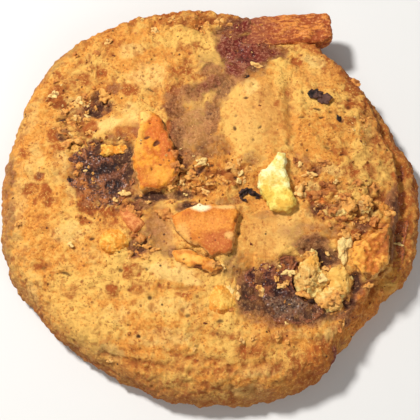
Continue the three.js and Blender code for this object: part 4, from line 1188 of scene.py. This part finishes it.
crumb_finish = food_material("loose_crumb", crumb_look, **DRY)
weights = [half_x * half_y * strength for _, _, half_x, half_y, _, strength in CRUMBLY]
for seed, (name, kinds) in enumerate(STREWN.items()):
    draw = random.Random(SEED + seed)
    grains, handful = bmesh.new(), empty_hand()
    if name == "crumb_clumps":
        for x, y, length, width, turn, tone in CLUMPS:
            spot, normal = dropped(x, y)
            sides = (length * CLUMP_SPREAD, width * CLUMP_SPREAD)
            sizes = (*sides, min(length, width) * CLUMP_THICKNESS)
            flat_turn = Matrix.Rotation(math.radians(turn), 4, "Z")
            middle = spot + normal * sizes[2] * PLACED_RAISED
            fineness = 4 if length > LARGE_CLUMP else 3
            crumb(handful, middle, sizes, flat_turn, fineness, draw, tone)
    for count, (smallest, largest), fineness, (low, high) in kinds:
        for _ in range(count):
            if draw.random() < STRAY_SHARE[name]:
                angle, out = draw.uniform(0, 360), math.sqrt(draw.random()) * FURTHEST_OUT
                radius, angle = out * rim_radius(angle), math.radians(angle)
                x, y = radius * math.cos(angle), radius * math.sin(angle)
            else:
                middle_x, middle_y, half_x, half_y, _, _ = draw.choices(CRUMBLY, weights)[0]
                x = middle_x + draw.gauss(0, SCATTER) * half_x
                y = middle_y + draw.gauss(0, SCATTER) * half_y
            size = smallest + (largest - smallest) * draw.random() ** 2
            spot, normal = dropped(x, y)
            if spot is None or spot.z < LOWEST_CRUMB:
                continue
            climbed = spot.z - dropped(x, y, bare_dough)[0].z > CLIMB
            if climbed and draw.random() > CLIMB_SHARE:
                continue
            sizes = (size * draw.uniform(0.9, 1.7), size * draw.uniform(0.6, 1.1), size * 0.65)
            turn = Matrix.Rotation(
                draw.uniform(0, math.tau), 4, Vector([draw.gauss(0, 1) for _ in "xyz"])
            )
            middle = spot + normal * size * RAISED[name]
            crumb(handful, middle, sizes, turn, fineness, draw, draw.uniform(low, high))
            if len(handful.verts) > HANDFUL:
                handful = baked_on(grains, handful)
    baked_on(grains, handful).free()
    grain_piece = finished(grains, name)
    grain_piece.data.materials.append(crumb_finish)
    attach(grain_piece, "root")


# ---------------------------------------------------------------------------------------------
# The golden bar: a small stick of crisp biscuit with worn corners. It lies over the back of the
# left-hand jam, which glued it down as it baked.

BAR_MIDDLE, BAR_SIZES = (-19.2, 7.9), (5.8, 2.2, 1.8)
BAR_RAISED = 0.1

bar = bmesh.new()
bar_spot, _ = dropped(*BAR_MIDDLE)
made = bmesh.ops.create_cube(bar, size=1)
bmesh.ops.scale(bar, vec=BAR_SIZES, verts=made["verts"])
bmesh.ops.translate(bar, vec=bar_spot + Vector((0, 0, BAR_RAISED)), verts=made["verts"])
bar = remeshed(bar, LUMP_VOXEL)
weathered(bar, smoothing=5, wear=lump_wear(0.8))
bar_piece = finished(bar, "golden_bar")
bar_piece.data.materials.append(nugget_finish)
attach(bar_piece, "root")


# ---------------------------------------------------------------------------------------------
# Small dark bits: dry black-brown flakes of fruit skin, a large one on the back right, a curled
# one beside the cream and four tiny ones elsewhere, all stuck to the crust.

# Parts of the flakes: middle x and y, length, width, turn, thickness.
DARK_BITS = [
    (21.7, 20.5, 3, 2.1, -10, 1.2), (24, 19.4, 2.4, 2.2, 0, 1.2), (7.4, -1.2, 2.2, 1, 15, 1.2),
    (9, -1.8, 2.4, 1, -15, 1), (6.6, -2, 0.8, 1.6, 0, 1), (7.2, -3.2, 1.2, 0.6, -20, 0.8),
    (10, -2.6, 1, 0.6, -40, 0.7), (-28.2, 2, 1.1, 0.8, -20, 0.6), (26.8, 15, 1.2, 1.4, 0, 0.7),
    (8, 24.2, 1.2, 0.6, 20, 0.5), (-30.7, 15.3, 1.6, 0.5, 20, 0.4),
]

# The large flake's worn end, as middle x and y and half sizes.
WORN_FLAKE = (24.4, 19.2, 1.4, 1.2)
BITS_RAISED = 0.2
BITS_SEED = 5


def dark_look(w, place):
    fine, middle = clouds(w, place, 0.5, 4, 0.6), clouds(w, place, 1.4)
    raised = (fine + painted(w, "relief") * 0.3).step(0.4, 0.7)
    colour = raised.mix(srgb(30, 20, 18), srgb(92, 60, 48))
    colour = (patch(w, place, *WORN_FLAKE) * 0.6).mix(colour, srgb(112, 74, 62))
    return colour, 0.42 + middle * 0.3, fine * 0.35


bits = empty_hand()
draw = random.Random(BITS_SEED)
for x, y, length, width, turn, thick in DARK_BITS:
    spot, normal = dropped(x, y)
    flat_turn = Matrix.Rotation(math.radians(turn), 4, "Z")
    middle = spot + normal * thick * BITS_RAISED
    sizes = (length, width, thick)
    crumb(bits, middle, sizes, flat_turn, fineness=4, draw=draw, tone=0)
bits_piece = finished(bits, "dark_fruit_bits")
bits_piece.data.materials.append(food_material("dark_fruit", dark_look, **DRY))
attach(bits_piece, "root")


# ---------------------------------------------------------------------------------------------
# The stage: a plain pale floor, a light from the back left, small enough to show the crust's
# grain, a wide weak fill from the front and a camera that looks down as the photograph does.

FLOOR_SIZE = 1.6
SURROUNDING_LIGHT = 0.21

bpy.ops.mesh.primitive_plane_add(size=FLOOR_SIZE)
floor = bpy.context.object
floor.name = "pale_floor"


def floor_look(w, place):
    tint = clouds(w, place, 60).mix(srgb(214, 212, 208), srgb(222, 220, 216))
    return tint, 0.7 + clouds(w, place, 20) * 0.05, clouds(w, place, 3) * 0.01


floor.data.materials.append(food_material("pale_floor", floor_look))


def soft_light(name, place, size, power):
    light = bpy.data.lights.new(name, "AREA")
    light.shape = "DISK"
    light.size = size
    light.energy = power
    lamp = bpy.data.objects.new(name, light)
    lamp.location = place
    lamp.rotation_euler = (-Vector(place)).to_track_quat("-Z", "Y").to_euler()
    bpy.context.scene.collection.objects.link(lamp)


soft_light("key", place=(-0.23, 0.16, 0.44), size=0.08, power=3.22)
soft_light("fill", place=(0.16, -0.36, 0.36), size=0.4, power=0.74)

world = bpy.data.worlds.new("studio")
world.use_nodes = True
world.node_tree.nodes["Background"].inputs["Color"].default_value = (1, 1, 1, 1)
world.node_tree.nodes["Background"].inputs["Strength"].default_value = SURROUNDING_LIGHT
bpy.context.scene.world = world
bpy.context.scene.view_settings.view_transform = "Standard"

# The camera's angle over the horizon, its lens, the width that it sees and where it aims.
ELEVATION = 72
LENS, SENSOR = 100, 36
VIEW_WIDTH = 86.1 * MM
AIM = Vector((0.25, -3.5, 9)) * MM

camera_data = bpy.data.cameras.new("camera")
camera_data.lens = LENS
camera_data.sensor_width = SENSOR
camera = bpy.data.objects.new("camera", camera_data)
tilt = math.radians(ELEVATION)
camera.location = AIM + Vector((0, -math.cos(tilt), math.sin(tilt))) * VIEW_WIDTH * LENS / SENSOR
camera.rotation_euler = (math.radians(90 - ELEVATION), 0, 0)
bpy.context.scene.collection.objects.link(camera)
bpy.context.scene.camera = camera
